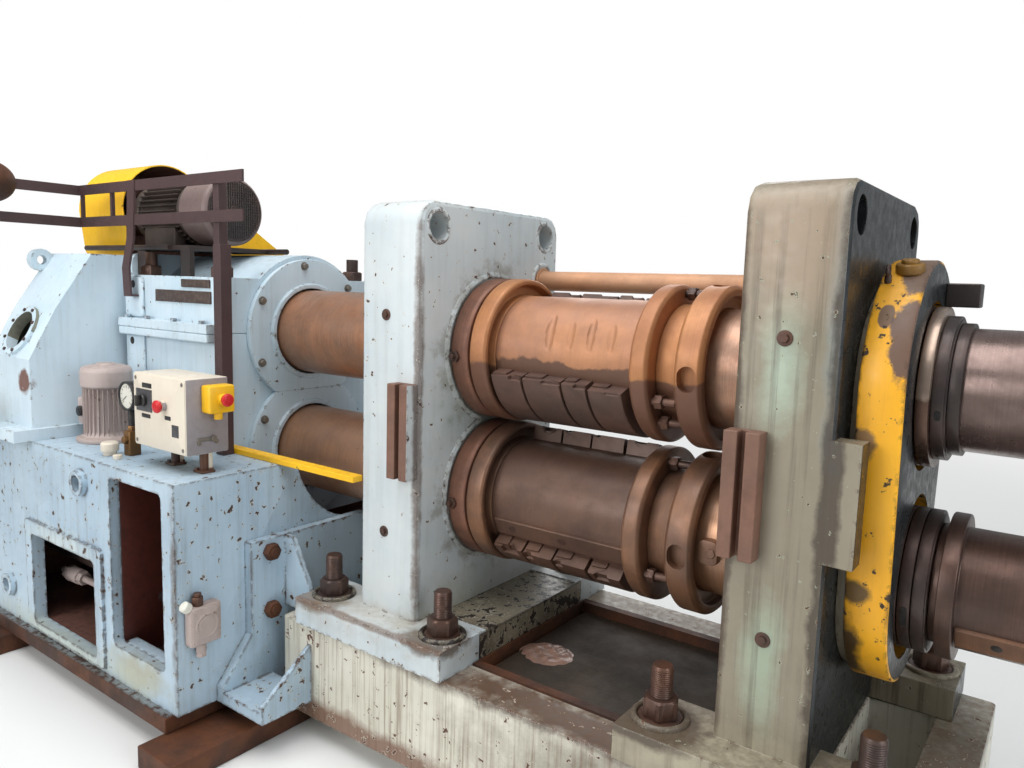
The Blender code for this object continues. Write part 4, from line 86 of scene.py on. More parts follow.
# enamel over castings: slow tone, local stains, streaks on walls, grime on ledges, chips down to undercoat and rust
def enamel(name, colour, shade, grime, chip, rust, chips=0.5, streaks=0.5, dirt=0.5, rough=0.42, bump=0.25, stains=(), fine=46):
    material, tree, shader = blank(name)
    place = add(tree, "TexCoord", out=3)
    slow = add(tree, "TexNoise", {"Vector": place, "Scale": 3.1, "Detail": 6, "Roughness": 0.62})  # clouds of about 300 mm
    flakes = add(tree, "TexNoise", {"Vector": place, "Scale": 48, "Detail": 5, "Roughness": 0.6})  # flaking of about 20 mm
    patchy = add(tree, "TexNoise", {"Vector": place, "Scale": 13, "Detail": 6, "Roughness": 0.68})  # blotches of about 80 mm
    brush = add(tree, "TexNoise", {"Vector": place, "Scale": 120, "Detail": 2})  # brush marks of about 8 mm
    runs = add(tree, "Mapping", {"Vector": place, "Scale": (fine, fine, 2.0)})  # drips as wide as 1 / fine m, 500 mm long
    drip = add(tree, "TexNoise", {"Vector": runs, "Scale": 1, "Detail": 5, "Roughness": 0.68})
    normal = add(tree, "NewGeometry", out=1)
    split = add(tree, "SeparateXYZ", {"Vector": normal}, out=2)
    wall = add(tree, "Math", {0: 1, 1: add(tree, "Math", {0: split}, operation="ABSOLUTE")}, operation="SUBTRACT")
    ledge = add(tree, "MapRange", {"Value": split, 1: 0.5, 2: 0.95})
    tone = add(tree, "MapRange", {"Value": slow, 1: 0.38, 2: 0.66})
    paint = add(tree, "Mix", {0: tone, 6: tint(colour), 7: tint(shade)}, 2, data_type="RGBA")
    for centre, radii, stain, strength, soft in stains:
        cover = add(tree, "Math", {0: cloud(tree, place, patchy, centre, radii, soft), 1: strength}, operation="MULTIPLY")
        paint = add(tree, "Mix", {0: cover, 6: paint, 7: tint(stain)}, 2, data_type="RGBA")
    streakMask = add(tree, "MapRange", {"Value": drip, 1: 0.48, 2: 0.70, 4: streaks})
    streakMask = add(tree, "Math", {0: streakMask, 1: wall}, operation="MULTIPLY")
    streakMask = add(tree, "Math", {0: streakMask, 1: add(tree, "MapRange", {"Value": slow, 1: 0.30, 2: 0.60})}, operation="MULTIPLY")
    paint = add(tree, "Mix", {0: streakMask, 6: paint, 7: tint(grime)}, 2, data_type="RGBA")
    dust = add(tree, "Math", {0: ledge, 1: add(tree, "MapRange", {"Value": flakes, 1: 0.30, 2: 0.75, 4: dirt})}, operation="MULTIPLY")
    paint = add(tree, "Mix", {0: dust, 6: paint, 7: tint(grime)}, 2, data_type="RGBA")
    near = add(tree, "Bevel", {"Radius": 0.012}, samples=3)
    edge = add(tree, "VectorMath", {0: near, 1: normal}, 1, operation="DOT_PRODUCT")
    edge = add(tree, "MapRange", {"Value": edge, 1: 0.995, 2: 0.86, 4: 0.21 * chips})  # rims chip first
    flake = add(tree, "Math", {0: add(tree, "Math", {0: flakes, 1: edge}, operation="ADD"), 1: add(tree, "MapRange", {"Value": slow, 1: 0.3, 2: 0.75, 4: 0.10 * chips})}, operation="ADD")
    bare = add(tree, "MapRange", {"Value": flake, 1: 0.71 - 0.06 * chips, 2: 0.725 - 0.06 * chips})
    deep = add(tree, "MapRange", {"Value": flake, 1: 0.725 - 0.06 * chips, 2: 0.75 - 0.06 * chips})
    paint = add(tree, "Mix", {0: bare, 6: paint, 7: tint(chip)}, 2, data_type="RGBA")
    paint = add(tree, "Mix", {0: deep, 6: paint, 7: tint(rust)}, 2, data_type="RGBA")
    tree.links.new(paint, shader.inputs["Base Color"])
    gloss = add(tree, "MapRange", {"Value": flakes, 1: 0.3, 2: 0.8, 3: rough - 0.1, 4: rough + 0.22})
    tree.links.new(gloss, shader.inputs["Roughness"])
    height = add(tree, "Math", {0: brush, 1: 0.25, 2: slow}, operation="MULTIPLY_ADD")
    height = add(tree, "Math", {0: bare, 1: -0.35, 2: height}, operation="MULTIPLY_ADD")
    relief = add(tree, "Bump", {"Height": height, "Strength": bump, "Distance": 0.004})
    tree.links.new(relief, shader.inputs["Normal"])
    shader.inputs["IOR"].default_value = 1.5
    return material


# hot-worked or turned steel: warm and dark clouds, fine rings across the axis of turning
def steel(name, colour, warm, dark, metal=0.35, rough=0.46, rings=0.4, warmth=0.5, darkness=0.5, bump=0.15, shadeBelow=None, level=0.0):
    material, tree, shader = blank(name)
    place = add(tree, "TexCoord", out=3)
    slow = add(tree, "TexNoise", {"Vector": place, "Scale": 5.5, "Detail": 7, "Roughness": 0.65})  # heat stains of about 180 mm
    other = add(tree, "TexNoise", {"Vector": add(tree, "Mapping", {"Vector": place, "Location": (3, 1, 7)}), "Scale": 9, "Detail": 6, "Roughness": 0.7})
    fine = add(tree, "TexNoise", {"Vector": place, "Scale": 160, "Detail": 3})  # pits of about 6 mm
    across = add(tree, "Mapping", {"Vector": place, "Scale": (420, 9, 9)})  # tool marks 2 mm apart
    marks = add(tree, "TexNoise", {"Vector": across, "Scale": 1, "Detail": 3})
    heat = add(tree, "MapRange", {"Value": slow, 1: 0.42, 2: 0.66, 4: warmth * 2})
    heat = add(tree, "Math", {0: heat, 1: 1}, operation="MINIMUM")
    soot = add(tree, "MapRange", {"Value": other, 1: 0.46, 2: 0.68, 4: darkness})
    paint = add(tree, "Mix", {0: heat, 6: tint(colour), 7: tint(warm)}, 2, data_type="RGBA")
    paint = add(tree, "Mix", {0: soot, 6: paint, 7: tint(dark)}, 2, data_type="RGBA")
    if shadeBelow:  # painted shade: the part under a wavy line at the given height takes the darker colour
        line = add(tree, "SeparateXYZ", {"Vector": place}, out=2)
        line = add(tree, "Math", {0: slow, 1: 0.09, 2: line}, operation="MULTIPLY_ADD")
        line = add(tree, "MapRange", {"Value": line, 1: level + 0.042, 2: level + 0.048, 3: 0.9, 4: 0})
        paint = add(tree, "Mix", {0: line, 6: paint, 7: tint(shadeBelow)}, 2, data_type="RGBA")
    groove = add(tree, "MapRange", {"Value": marks, 1: 0.35, 2: 0.75, 4: rings * 0.45})
    paint = add(tree, "Mix", {0: groove, 6: paint, 7: tint(dark)}, 2, data_type="RGBA")
    tree.links.new(paint, shader.inputs["Base Color"])
    shader.inputs["Metallic"].default_value = metal
    gloss = add(tree, "MapRange", {"Value": other, 1: 0.3, 2: 0.7, 3: rough - 0.08, 4: rough + 0.15})
    tree.links.new(gloss, shader.inputs["Roughness"])
    height = add(tree, "Math", {0: fine, 1: add(tree, "Math", {0: marks, 1: rings}, operation="MULTIPLY")}, operation="ADD")
    relief = add(tree, "Bump", {"Height": height, "Strength": bump, "Distance": 0.0015})
    tree.links.new(relief, shader.inputs["Normal"])
    return material


# moulded plastic, rubber or a plain coat: one colour with faint dust
def plain(name, colour, rough=0.4, metal=0.0, dust="#8a8178", dusty=0.15):
    material, tree, shader = blank(name)
    place = add(tree, "TexCoord", out=3)
    fine = add(tree, "TexNoise", {"Vector": place, "Scale": 60, "Detail": 4})
    cover = add(tree, "MapRange", {"Value": fine, 1: 0.45, 2: 0.75, 4: dusty})
    paint = add(tree, "Mix", {0: cover, 6: tint(colour), 7: tint(dust)}, 2, data_type="RGBA")
    tree.links.new(paint, shader.inputs["Base Color"])
    shader.inputs["Roughness"].default_value = rough
    shader.inputs["Metallic"].default_value = metal
    return material


# stains as (centre, radii, colour, strength, softness) in the machine's own metres
standStains = (
    ((0.46, -0.10, 0.36), (0.10, 0.30, 0.14), "#9a967a", 0.55, 0.9),
    # this and the next darken the inner face round the bearing rings, beside the rolls
    ((0.4545, 0.0, 1.055), (0.03, 0.220, 0.220), "#7a6f60", 0.5, 0.20),
    ((0.4545, 0.0, 0.685), (0.03, 0.225, 0.225), "#6d6152", 0.5, 0.22),
    ((0.4545, -0.29, 0.90), (0.022, 0.022, 0.75), "#5a463a", 0.8, 0.45),
    ((0.156, -0.33, 0.387), (0.10, 0.09, 0.03), "#57463a", 0.75, 0.35),
    ((0.558, -0.33, 0.387), (0.10, 0.10, 0.03), "#4b3c31", 0.85, 0.35),
    ((0.30, -0.375, 0.385), (0.50, 0.02, 0.014), "#6b4a36", 0.7, 0.45),
    ((0.46, 0.0, 0.87), (0.04, 0.26, 0.42), "#a3ada4", 0.5, 0.5),
    ((0.30, -0.29, 0.36), (0.40, 0.12, 0.05), "#a08a6a", 0.5, 0.8),
)
outerStains = (
    ((1.31, -0.29, 1.10), (0.05, 0.05, 0.14), "#a9bba6", 0.75, 0.8),
    ((1.31, -0.29, 0.56), (0.05, 0.05, 0.16), "#a3b29c", 0.75, 0.8),
    ((1.40, -0.30, 1.20), (0.03, 0.05, 0.36), "#87979a", 0.7, 0.8),
    ((1.31, -0.30, 1.32), (0.16, 0.10, 0.20), "#a88f78", 0.6, 0.8),
    ((1.25, -0.33, 0.36), (0.30, 0.14, 0.07), "#b9b199", 0.7, 0.8),
    ((1.113, -0.33, 0.387), (0.12, 0.12, 0.03), "#4b3c31", 0.85, 0.35),
    ((1.515, -0.33, 0.387), (0.12, 0.12, 0.03), "#4b3c31", 0.85, 0.35),
    ((1.2255, -0.29, 0.85), (0.020, 0.020, 0.75), "#4b3d33", 0.8, 0.45),
    ((1.4035, -0.29, 0.85), (0.022, 0.022, 0.75), "#3f342c", 0.8, 0.45),
)
baseStains = (
    ((1.30, -0.37, 0.22), (0.72, 0.20, 0.18), "#54452f", 0.9, 0.9),
    ((0.62, -0.37, 0.335), (0.50, 0.06, 0.05), "#4a3a2a", 0.85, 0.6),
    ((0.30, -0.37, 0.08), (0.60, 0.06, 0.05), "#6b4128", 0.85, 0.6),
    ((0.90, -0.31, 0.315), (0.50, 0.09, 0.02), "#4d3b2f", 0.95, 0.6),
    ((0.90, 0.31, 0.315), (0.60, 0.10, 0.03), "#65563f", 0.8, 0.7),
    ((1.60, 0.0, 0.315), (0.20, 0.50, 0.04), "#5a4f3a", 0.85, 0.7),
)
plateStains = (
    ((1.485, -0.10, 1.27), (0.040, 0.13, 0.05), "#5a4a48", 0.95, 0.15),
    ((1.492, -0.20, 1.14), (0.034, 0.06, 0.09), "#5f4b47", 0.95, 0.15),
    ((1.448, -0.20, 1.19), (0.012, 0.05, 0.02), "#5a4a48", 0.9, 0.15),
    ((1.425, -0.235, 0.965), (0.035, 0.05, 0.035), "#6b5646", 0.85, 0.25),
    # this and the next darken the plate towards its lower end
    ((1.440, -0.205, 0.700), (0.028, 0.05, 0.025), "#3f3322", 0.9, 0.4),
    ((1.420, -0.170, 0.560), (0.035, 0.12, 0.11), "#332a20", 0.95, 0.5),
)
housingStains = (((-0.872, -0.62, 0.885), (0.042, 0.06, 0.045), "#6d4436", 0.95, 0.25), ((-1.1, -0.60, 0.78), (0.20, 0.14, 0.08), "#8d8778", 0.4, 0.9))
lightBlue = enamel("light blue enamel, brushed on", "#cbd0d0", "#b9c5cb", "#8a8474", "#d6d3c8", "#48332a", 0.75, 0.25, 0.35, stains=standStains)
gearBlue = enamel("light blue enamel on gear castings", "#cbdae3", "#b9ceda", "#7d7a6c", "#d3dadb", "#4a362d", 0.5, 0.25, 0.35, stains=housingStains)
boxStains = (
    ((-0.23, -0.64, 0.165), (0.18, 0.06, 0.07), "#a39d7c", 0.75, 0.7),
    ((-0.64, -0.64, 0.125), (0.70, 0.06, 0.06), "#b9bfae", 0.6, 0.7),
    ((-0.65, -0.63, 0.435), (0.26, 0.04, 0.05), "#c9d2cd", 0.6, 0.7),
    ((-0.215, -0.50, 0.71), (0.15, 0.09, 0.02), "#5d5a52", 0.6, 0.7),
    ((-0.04, -0.36, 0.16), (0.04, 0.20, 0.12), "#6d6a60", 0.55, 0.8),
    ((-0.045, -0.640, 0.40), (0.02, 0.02, 0.40), "#544840", 0.75, 0.5),
)
boxBlue = enamel("light blue enamel, sprayed", "#b1c4d1", "#9db3c4", "#6b6457", "#c6c9c2", "#43302a", 0.9, 0.4, 0.22, stains=boxStains)
greyGreen = enamel("grey green enamel, oil stained", "#948a78", "#857d6a", "#4f4233", "#a9b09c", "#56341f", 0.55, 0.8, 0.8, 0.42, stains=outerStains, fine=70)
# oil darkening and painted shade together, for right-facing faces and hole walls
oilAndShadeBlue = enamel("grey green enamel, oil darkened, painted shade", "#222628", "#1b1e20", "#1a1715", "#3d4240", "#2e211a", 0.3, 0.5, 0.4, 0.3)
baseBlue = enamel("pale blue enamel, oil stained", "#dcd8ca", "#c8c5b5", "#6b4a33", "#d0cbbb", "#54301f", 0.8, 0.85, 0.7, 0.42, stains=baseStains, fine=95)
plinthBlue = enamel("pale enamel over brown primer", "#7f888b", "#5d5754", "#4f4038", "#57453c", "#3a251c", 2.0, 0.5, 0.6)
apronCoat = enamel("cream enamel, worn through", "#a39a84", "#5c5241", "#3a2f25", "#c9c2b0", "#2a211b", 1.9, 0.6, 0.9, 0.4)
yellow = enamel("yellow enamel, worn", "#fab626", "#eda81e", "#6a5026", "#6b542f", "#35251a", 0.8, 0.25, 0.4, stains=plateStains)
guardYellow = enamel("yellow enamel, sprayed on sheet", "#f8c41a", "#f0b412", "#8a6a20", "#c9961a", "#4f3a1c", 0.25, 0.15, 0.3)
primer = enamel("red oxide primer, dusty", "#4a3434", "#3d2a2b", "#2e2422", "#6b4a42", "#3a2018", 0.3, 0.35, 0.5, 0.5)
cream = enamel("cream powder coat", "#e0d5c4", "#d6cab8", "#a1988a", "#f0ece0", "#8a8074", 0.12, 0.15, 0.3, 0.38, 0.08)
motorGrey = enamel("grey brown motor enamel, dusty", "#4c413b", "#3b322f", "#7d6b5c", "#6f625a", "#3b2a24", 0.3, 0.2, 0.7, 0.5)
motorRose = enamel("rose grey motor enamel, dusty", "#7d6a66", "#685754", "#8a7a6c", "#95857c", "#3b2a24", 0.3, 0.3, 0.7, 0.5)
paleGrey = enamel("pale aluminium lacquer, dusty", "#b3a39e", "#a09089", "#7d6a5e", "#cfc4bd", "#6b4f43", 0.4, 0.4, 0.5, 0.45)
# the upper roll's sleeve and rings: heat browned, with painted shade under a line near the upper axis's height
warmRoll = steel("die steel, heat browned, painted shade under the axis", "#a3755b", "#b57f5a", "#7d5944", 0.3, 0.46, 0.35, 0.6, 0.35, shadeBelow="#5b4237", level=1.052)
warmRing = steel("ring steel, heat browned, painted shade under the axis", "#a8714c", "#bc8252", "#7d543c", 0.3, 0.44, 0.5, 0.55, 0.35, shadeBelow="#64463a", level=1.035)
darkRoll = steel("die steel, oil darkened", "#5c4438", "#6d4f3f", "#443129", 0.3, 0.44, 0.35, 0.45, 0.5)
darkRing = steel("ring steel, oil darkened", "#6d5142", "#94694c", "#4a362c", 0.35, 0.42, 0.5, 0.5, 0.4)
bearingSteel = steel("bearing ring steel, sooty", "#7d5747", "#96654c", "#4a332b", 0.3, 0.48, 0.9, 0.4, 0.5)
tieSteel = steel("bar steel, light rust", "#c09372", "#ca9670", "#9c745a", 0.25, 0.55, 0.2, 0.5, 0.4, 0.3)
shaftSteel = steel("shaft steel, turned", "#ab8873", "#bd8664", "#6b4f42", 0.6, 0.34, 0.9, 0.55, 0.5, 0.08)
rollBright = steel("outboard roll steel, polished", "#75635d", "#95807a", "#4d3f3a", 0.7, 0.26, 0.9, 0.35, 0.45, 0.08)
outboardBrown = steel("outboard roll steel, brown film", "#54413a", "#6d5044", "#382b26", 0.5, 0.32, 0.9, 0.4, 0.4, 0.1)
brownShaft = steel("shaft steel, brown film", "#a8836c", "#b58664", "#6b5042", 0.5, 0.34, 0.9, 0.5, 0.4, 0.1)
oilSteel = steel("collar steel, oiled", "#4a4341", "#6a5148", "#2a2625", 0.6, 0.34, 0.4, 0.3, 0.4)
boltSteel = steel("bolt steel, oily", "#4d3f3a", "#6e4a38", "#2b2322", 0.5, 0.38, 0.1, 0.4, 0.4)
rustSteel = steel("rolled steel, rusted", "#40291f", "#63391f", "#261a15", 0.2, 0.62, 0.1, 0.6, 0.5, 0.35)
guideSteel = steel("guide steel, brown", "#7a5a4b", "#8a6350", "#4d382f", 0.2, 0.55, 0.2, 0.4, 0.4, 0.2)
brassSteel = steel("bronze plug, dull", "#7d5a36", "#96703f", "#4a3624", 0.6, 0.4, 0.1)
greaseCoat = steel("old grease, orange", "#8a6424", "#a37428", "#46321c", 0.0, 0.4, 0.0, 0.6, 0.5, 0.9)
grimeCoat = steel("oil and scale, wet", "#2c2115", "#3d2d1d", "#1b140c", 0.0, 0.72, 0.0, 0.5, 0.5, 0.5)
sludge = steel("scale sludge, wet", "#8a6a5c", "#a98474", "#54443a", 0.0, 0.25, 0.0, 0.6, 0.5, 0.9)
redPlastic = plain("red acetal, moulded", "#c3141c", 0.3, 0.0, "#8a5a50", 0.1)
blackPlastic = plain("black phenolic, moulded", "#1c1b1c", 0.4)
yellowPlastic = plain("yellow polycarbonate, moulded", "#edb616", 0.38, 0.0, "#9a8040", 0.15)
oxideInside = plain("red oxide enamel, interior", "#5a281e", 0.55, 0.0, "#2a1614", 0.5)
housingInside = plain("grey green enamel, interior", "#77786a", 0.55, 0.0, "#3f3b33", 0.5)
darkInside = plain("dark enamel, interior", "#6e4a40", 0.6, 0.0, "#1f1614", 0.6)
dialWhite = plain("white enamel dial", "#d9d6cb", 0.35)
tagBrown = plain("bronze plate, dark", "#4b3d38", 0.5, 0.3, "#7d6a5e", 0.5)
# painted shade: a greyer copy of the cream coat for the control box's right side
shadedSideCream = plain("cream powder coat, side in painted shade", "#918a8c", 0.45, 0.0, "#6f6460", 0.3)
switchGrey = plain("grey anodised plate", "#4b4a4c", 0.4, 0.4, "#7d7a78", 0.3)
# painted shade: dark discs and slots that stand for holes and openings
holeShade = plain("painted shade in openings", "#1d1918", 0.7)
zinc = plain("zinc plating, dull", "#8a847c", 0.42, 0.8)
print("materials made")


# one quad for each cell of a grid of points, closed where it loops
def grid(points, loopU=False, loopV=False):
    rows, columns = points.shape[:2]
    ids = np.arange(rows * columns).reshape(rows, columns)
    if loopU:
        ids = np.concatenate([ids, ids[:1]], 0)
    if loopV:
        ids = np.concatenate([ids, ids[:, :1]], 1)
    quads = np.stack([ids[:-1, :-1], ids[:-1, 1:], ids[1:, 1:], ids[1:, :-1]], -1)
    return points.reshape(-1, 3), quads.reshape(-1, 4)


# each corner B cut back to A and C, then (1-t)^2 A + 2t(1-t) B + t^2 C
def eased(path, size, steps=3, closed=False):
    path = np.array(path, float)
    back = np.roll(path, 1, 0) - path
    ahead = np.roll(path, -1, 0) - path
    backLength = np.linalg.norm(back, axis=1, keepdims=True)
    aheadLength = np.linalg.norm(ahead, axis=1, keepdims=True)
    start = path + back / backLength * np.minimum(size, 0.45 * backLength)
    end = path + ahead / aheadLength * np.minimum(size, 0.45 * aheadLength)
    t = np.linspace(0, 1, steps + 1)[None, :, None]
    curve = (1 - t) ** 2 * start[:, None] + 2 * t * (1 - t) * path[:, None] + t ** 2 * end[:, None]
    if closed:
        return curve.reshape(-1, path.shape[1])
    return np.concatenate([path[:1], curve[1:-1].reshape(-1, path.shape[1]), path[-1:]])


# two directions across a given one
def across(direction):
    d = np.array(direction, float)
    d /= np.linalg.norm(d)
    side = np.cross(d, (0, 0, 1)) if abs(d[2]) < 0.9 else np.cross(d, (1, 0, 0))
    side /= np.linalg.norm(side)
    return d, side, np.cross(d, side)


# P(h, a) = centre + h d + r (cos a u + sin a v); with flat, r is kept inside a hexagon: flat / cos(a mod 60 - 30)
def turn(path, centre, direction=(1, 0, 0), steps=96, closed=False, flat=None, phase=0.0):
    d, u, v = across(direction)
    h, r = np.array(path, float).T
    a = np.linspace(0, full, steps, endpoint=False)
    r = np.repeat(r[:, None], steps, 1)
    if flat:
        r = np.minimum(r, flat / np.cos(np.mod(a, full / 6) - full / 12))
    b = a + phase
    points = np.array(centre) + h[:, None, None] * d + r[..., None] * (np.cos(b)[:, None] * u + np.sin(b)[:, None] * v)
    return grid(points, closed, True)


# P(s, w) = start + s (end - start), closed at both ends, along any line
def rod(start, end, radius, steps=24, edge=0.0015):
    start, end = np.array(start, float), np.array(end, float)
    length = np.linalg.norm(end - start)
    path = eased([(0, 0), (0, radius), (length, radius), (length, 0)], edge)
    return turn(path, start, end - start, steps)


# hexagon head or nut: inner width flat to flat, both rims broken by a cone
def hexagon(centre, direction, flats, height, phase=0.0):
    flat = flats / 2
    tip = flat * 1.1547
    path = [(0, 0), (0, flat * 0.97), (flat * 0.09, tip), (height - flat * 0.12, tip), (height, flat * 0.95), (height, 0)]
    return turn(path, centre, direction, 48, False, flat, phase)


# an outline in a plane pushed from start to end, both rims drawn in along the outline's normals by edge
def push(outline, start, end, plane="XZ", edge=0.002, middle=None):
    outline = np.array(outline, float)
    side = np.roll(outline, -1, 0) - outline
    side /= np.linalg.norm(side, axis=1, keepdims=True)
    area = np.sum(outline[:, 0] * np.roll(outline[:, 1], -1) - np.roll(outline[:, 0], -1) * outline[:, 1])
    inward = np.stack([-side[:, 1], side[:, 0]], -1) * np.sign(area)
    inward = inward + np.roll(inward, 1, 0)
    inward /= np.maximum(np.sum(inward ** 2, 1, keepdims=True), 0.4) / 2
    centre = outline.mean(0) if middle is None else np.array(middle)
    sense = np.sign(end - start)
    rows = []
    for inset, level in ((None, start), (1, start), (0.3, start + sense * edge * 0.3), (0, start + sense * edge)):
        ring = np.repeat(centre[None], len(outline), 0) if inset is None else outline + inward * edge * inset
        rows.append((ring, level))
    for inset, level in ((0, end - sense * edge), (0.3, end - sense * edge * 0.3), (1, end), (None, end)):
        ring = np.repeat(centre[None], len(outline), 0) if inset is None else outline + inward * edge * inset
        rows.append((ring, level))
    points = []
    for ring, level in rows:
        fill = np.full(len(ring), level)
        columns = {"XZ": (ring[:, 0], fill, ring[:, 1]), "YZ": (fill, ring[:, 0], ring[:, 1]), "XY": (ring[:, 0], ring[:, 1], fill)}
        points.append(np.stack(columns[plane], -1))
    return grid(np.array(points), False, True)


# four corners eased into a rounded rectangle
def rectangle(low, high, radius, steps=4):
    corners = [(low[0], low[1]), (high[0], low[1]), (high[0], high[1]), (low[0], high[1])]
    return eased(corners, radius, steps, True)


# a block between two corners with round upright edges
def block(low, high, radius=0.003, edge=0.002):
    return push(rectangle(low[:2], high[:2], radius), low[2], high[2], "XY", edge)


# a closed section (x, r) swept about a line along X from one angle to another, ends closed at the section's middle
def sector(section, y, z, start, end, steps=40):
    section = np.array(section, float)
    a = np.radians(np.linspace(start, end, steps))
    a = np.concatenate([a[:1], a, a[-1:]])
    x = np.repeat(section[None, :, 0], len(a), 0)
    r = np.repeat(section[None, :, 1], len(a), 0)
    x[[0, -1]] = section[:, 0].mean()
    r[[0, -1]] = section[:, 1].mean()
    points = np.stack([x, y + r * np.cos(a)[:, None], z + r * np.sin(a)[:, None]], -1)
    return grid(points, False, True)


# a circle carried along a path, its plane across the path's direction
def tube(path, radius, sides=16):
    path = np.array(path, float)
    heading = np.gradient(path, axis=0)
    heading /= np.linalg.norm(heading, axis=1, keepdims=True)
    side = np.cross(heading, (0.12, 0.34, 0.93))
    side /= np.linalg.norm(side, axis=1, keepdims=True)
    up = np.cross(heading, side)
    a = np.linspace(0, full, sides, endpoint=False)[None, :, None]
    ring = path[:, None] + radius * (np.cos(a) * side[:, None] + np.sin(a) * up[:, None])
    first = np.repeat(path[None, :1], sides, 1)
    last = np.repeat(path[None, -1:], sides, 1)
    return grid(np.concatenate([first, ring, last]), False, True)


# a smooth path through points: Catmull-Rom, 0.5 (2B + (C-A) t + (2A-5B+4C-D) t^2 + (3B-A-3C+D) t^3)
def through(points, steps=10):
    p = np.array(points, float)
    p = np.concatenate([2 * p[:1] - p[1:2], p, 2 * p[-1:] - p[-2:-1]])
    a, b, c, d = p[:-3, None], p[1:-2, None], p[2:-1, None], p[3:, None]
    t = np.linspace(0, 1, steps, endpoint=False)[None, :, None]
    curve = 0.5 * (2 * b + (c - a) * t + (2 * a - 5 * b + 4 * c - d) * t ** 2 + (3 * b - a - 3 * c + d) * t ** 3)
    return np.concatenate([curve.reshape(-1, 3), p[-2:-1]])


def combine(shapes):
    points, faces, count = [], [], 0
    for shapePoints, shapeFaces in shapes:
        points.append(shapePoints)
        faces.append(shapeFaces + count)
        count += len(shapePoints)
    return np.concatenate(points), np.concatenate(faces)


def meshOf(name, shapes):
    points, faces = combine(shapes)
    mesh = bpy.data.meshes.new(name)
    mesh.from_pydata(points.tolist(), [], faces.tolist())
    tidy = bmesh.new()
    tidy.from_mesh(mesh)
    bmesh.ops.remove_doubles(tidy, verts=tidy.verts, dist=0.000002)
    bmesh.ops.dissolve_degenerate(tidy, edges=tidy.edges, dist=0.000001)
    bmesh.ops.recalc_face_normals(tidy, faces=tidy.faces)
    tidy.to_mesh(mesh)
    tidy.free()
    return mesh


def finish(piece, body, material, stands=()):
    bpy.context.scene.collection.objects.link(piece)
    piece.data.materials.clear()
    piece.data.materials.append(material)
    piece.data.shade_smooth()
    piece.data.set_sharp_from_angle(angle=math.radians(32))
    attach(piece, body)
    if stands:
        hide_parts(*stands)
    return piece


def build(name, shapes, body, material, stands=()):
    return finish(bpy.data.objects.new(name, meshOf(name, shapes)), body, material, stands)


# takes the cutters out of a mesh with exact Booleans
def carved(name, shapes, cutters):
    target = bpy.data.objects.new(name, meshOf(name, shapes))
    bpy.context.scene.collection.objects.link(target)
    tools = []
    for i, cutter in enumerate(cutters):
        tool = bpy.data.objects.new(f"{name}Cut{i}", meshOf(f"{name}Cut{i}", [cutter]))
        bpy.context.scene.collection.objects.link(tool)
        tools.append(tool)
        step = target.modifiers.new("cut", "BOOLEAN")
        step.operation = "DIFFERENCE"
        step.solver = "EXACT"
        step.object = tool
    bpy.context.view_layer.update()
    mesh = bpy.data.meshes.new_from_object(target.evaluated_get(bpy.context.evaluated_depsgraph_get()))
    for thing in [target, *tools]:
        bpy.data.objects.remove(thing)
    mesh.name = name
    return mesh


def buildCarved(name, shapes, cutters, body, material, stands=()):
    return finish(bpy.data.objects.new(name, carved(name, shapes, cutters)), body, material, stands)


# a CAD node's solid, merged, with its edges broken by a bevel of a real casting's or sheet's size
def dress(node, body, material, edge=0.003, segments=2):
    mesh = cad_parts[node].data.copy()
    tidy = bmesh.new()
    tidy.from_mesh(mesh)
    bmesh.ops.remove_doubles(tidy, verts=tidy.verts, dist=0.00001)
    bmesh.ops.dissolve_limit(tidy, angle_limit=math.radians(0.6), verts=tidy.verts, edges=tidy.edges)
    tidy.to_mesh(mesh)
    tidy.free()
    piece = bpy.data.objects.new(node + "_finished", mesh)
    finish(piece, body, material, (node,))
    bevel = piece.modifiers.new("edge", "BEVEL")
    bevel.width = edge
    bevel.segments = segments
    bevel.limit_method = "ANGLE"
    bevel.angle_limit = math.radians(32)
    bevel.harden_normals = True
    return piece


# turned about X, then pressed in by ovals (x, angle, half width, half length, depth): r - depth (1 - d)^0.6
def pressed(path, z, ovals, steps=240):
    x, r = np.array(path, float).T
    a = np.linspace(0, full, steps, endpoint=False)
    x, r = np.repeat(x[:, None], steps, 1), np.repeat(r[:, None], steps, 1)
    outside = r > 0.5 * r.max() + 0.5 * 0.13
    for centre, angle, wide, long, depth in ovals:
        turned = (np.mod(a - math.radians(angle) + math.pi, full) - math.pi) * r.max()
        d = ((x - centre - 0.08 * turned) / wide) ** 2 + (turned / long) ** 2
        r = np.where(outside, r - depth * np.clip(1 - d, 0, 1) ** 0.6, r)
    return grid(np.stack([x, r * np.cos(a), z + r * np.sin(a)], -1), True, True)


# a line of points from one profile point to the next
def line(start, end, count):
    return [tuple(p) for p in np.linspace(start, end, count)]


# a second material on the faces that a rule on their middles and normals picks
def second(piece, material, pick):
    polygons = piece.data.polygons
    middle, normal = np.empty(len(polygons) * 3), np.empty(len(polygons) * 3)
    polygons.foreach_get("center", middle)
    polygons.foreach_get("normal", normal)
    piece.data.materials.append(material)
    chosen = pick(*middle.reshape(-1, 3).T, *normal.reshape(-1, 3).T)
    polygons.foreach_set("material_index", chosen.astype(np.int32))


# a prism with round ends, pushed outwards along a radius
def slotPrism(middle, out, along, radius, stretch, depth):
    a = np.linspace(0, full, 48, endpoint=False)
    t = radius * np.cos(a) + stretch / 2 * np.sign(np.round(np.cos(a), 6))
    rows = []
    for reach, size in ((0, 0), (0, 1), (depth, 1), (depth, 0)):
        rows.append(middle + out * reach + size * (t[:, None] * along + (radius * np.sin(a))[:, None] * np.array((1, 0, 0))))
    return grid(np.array(rows), False, True)


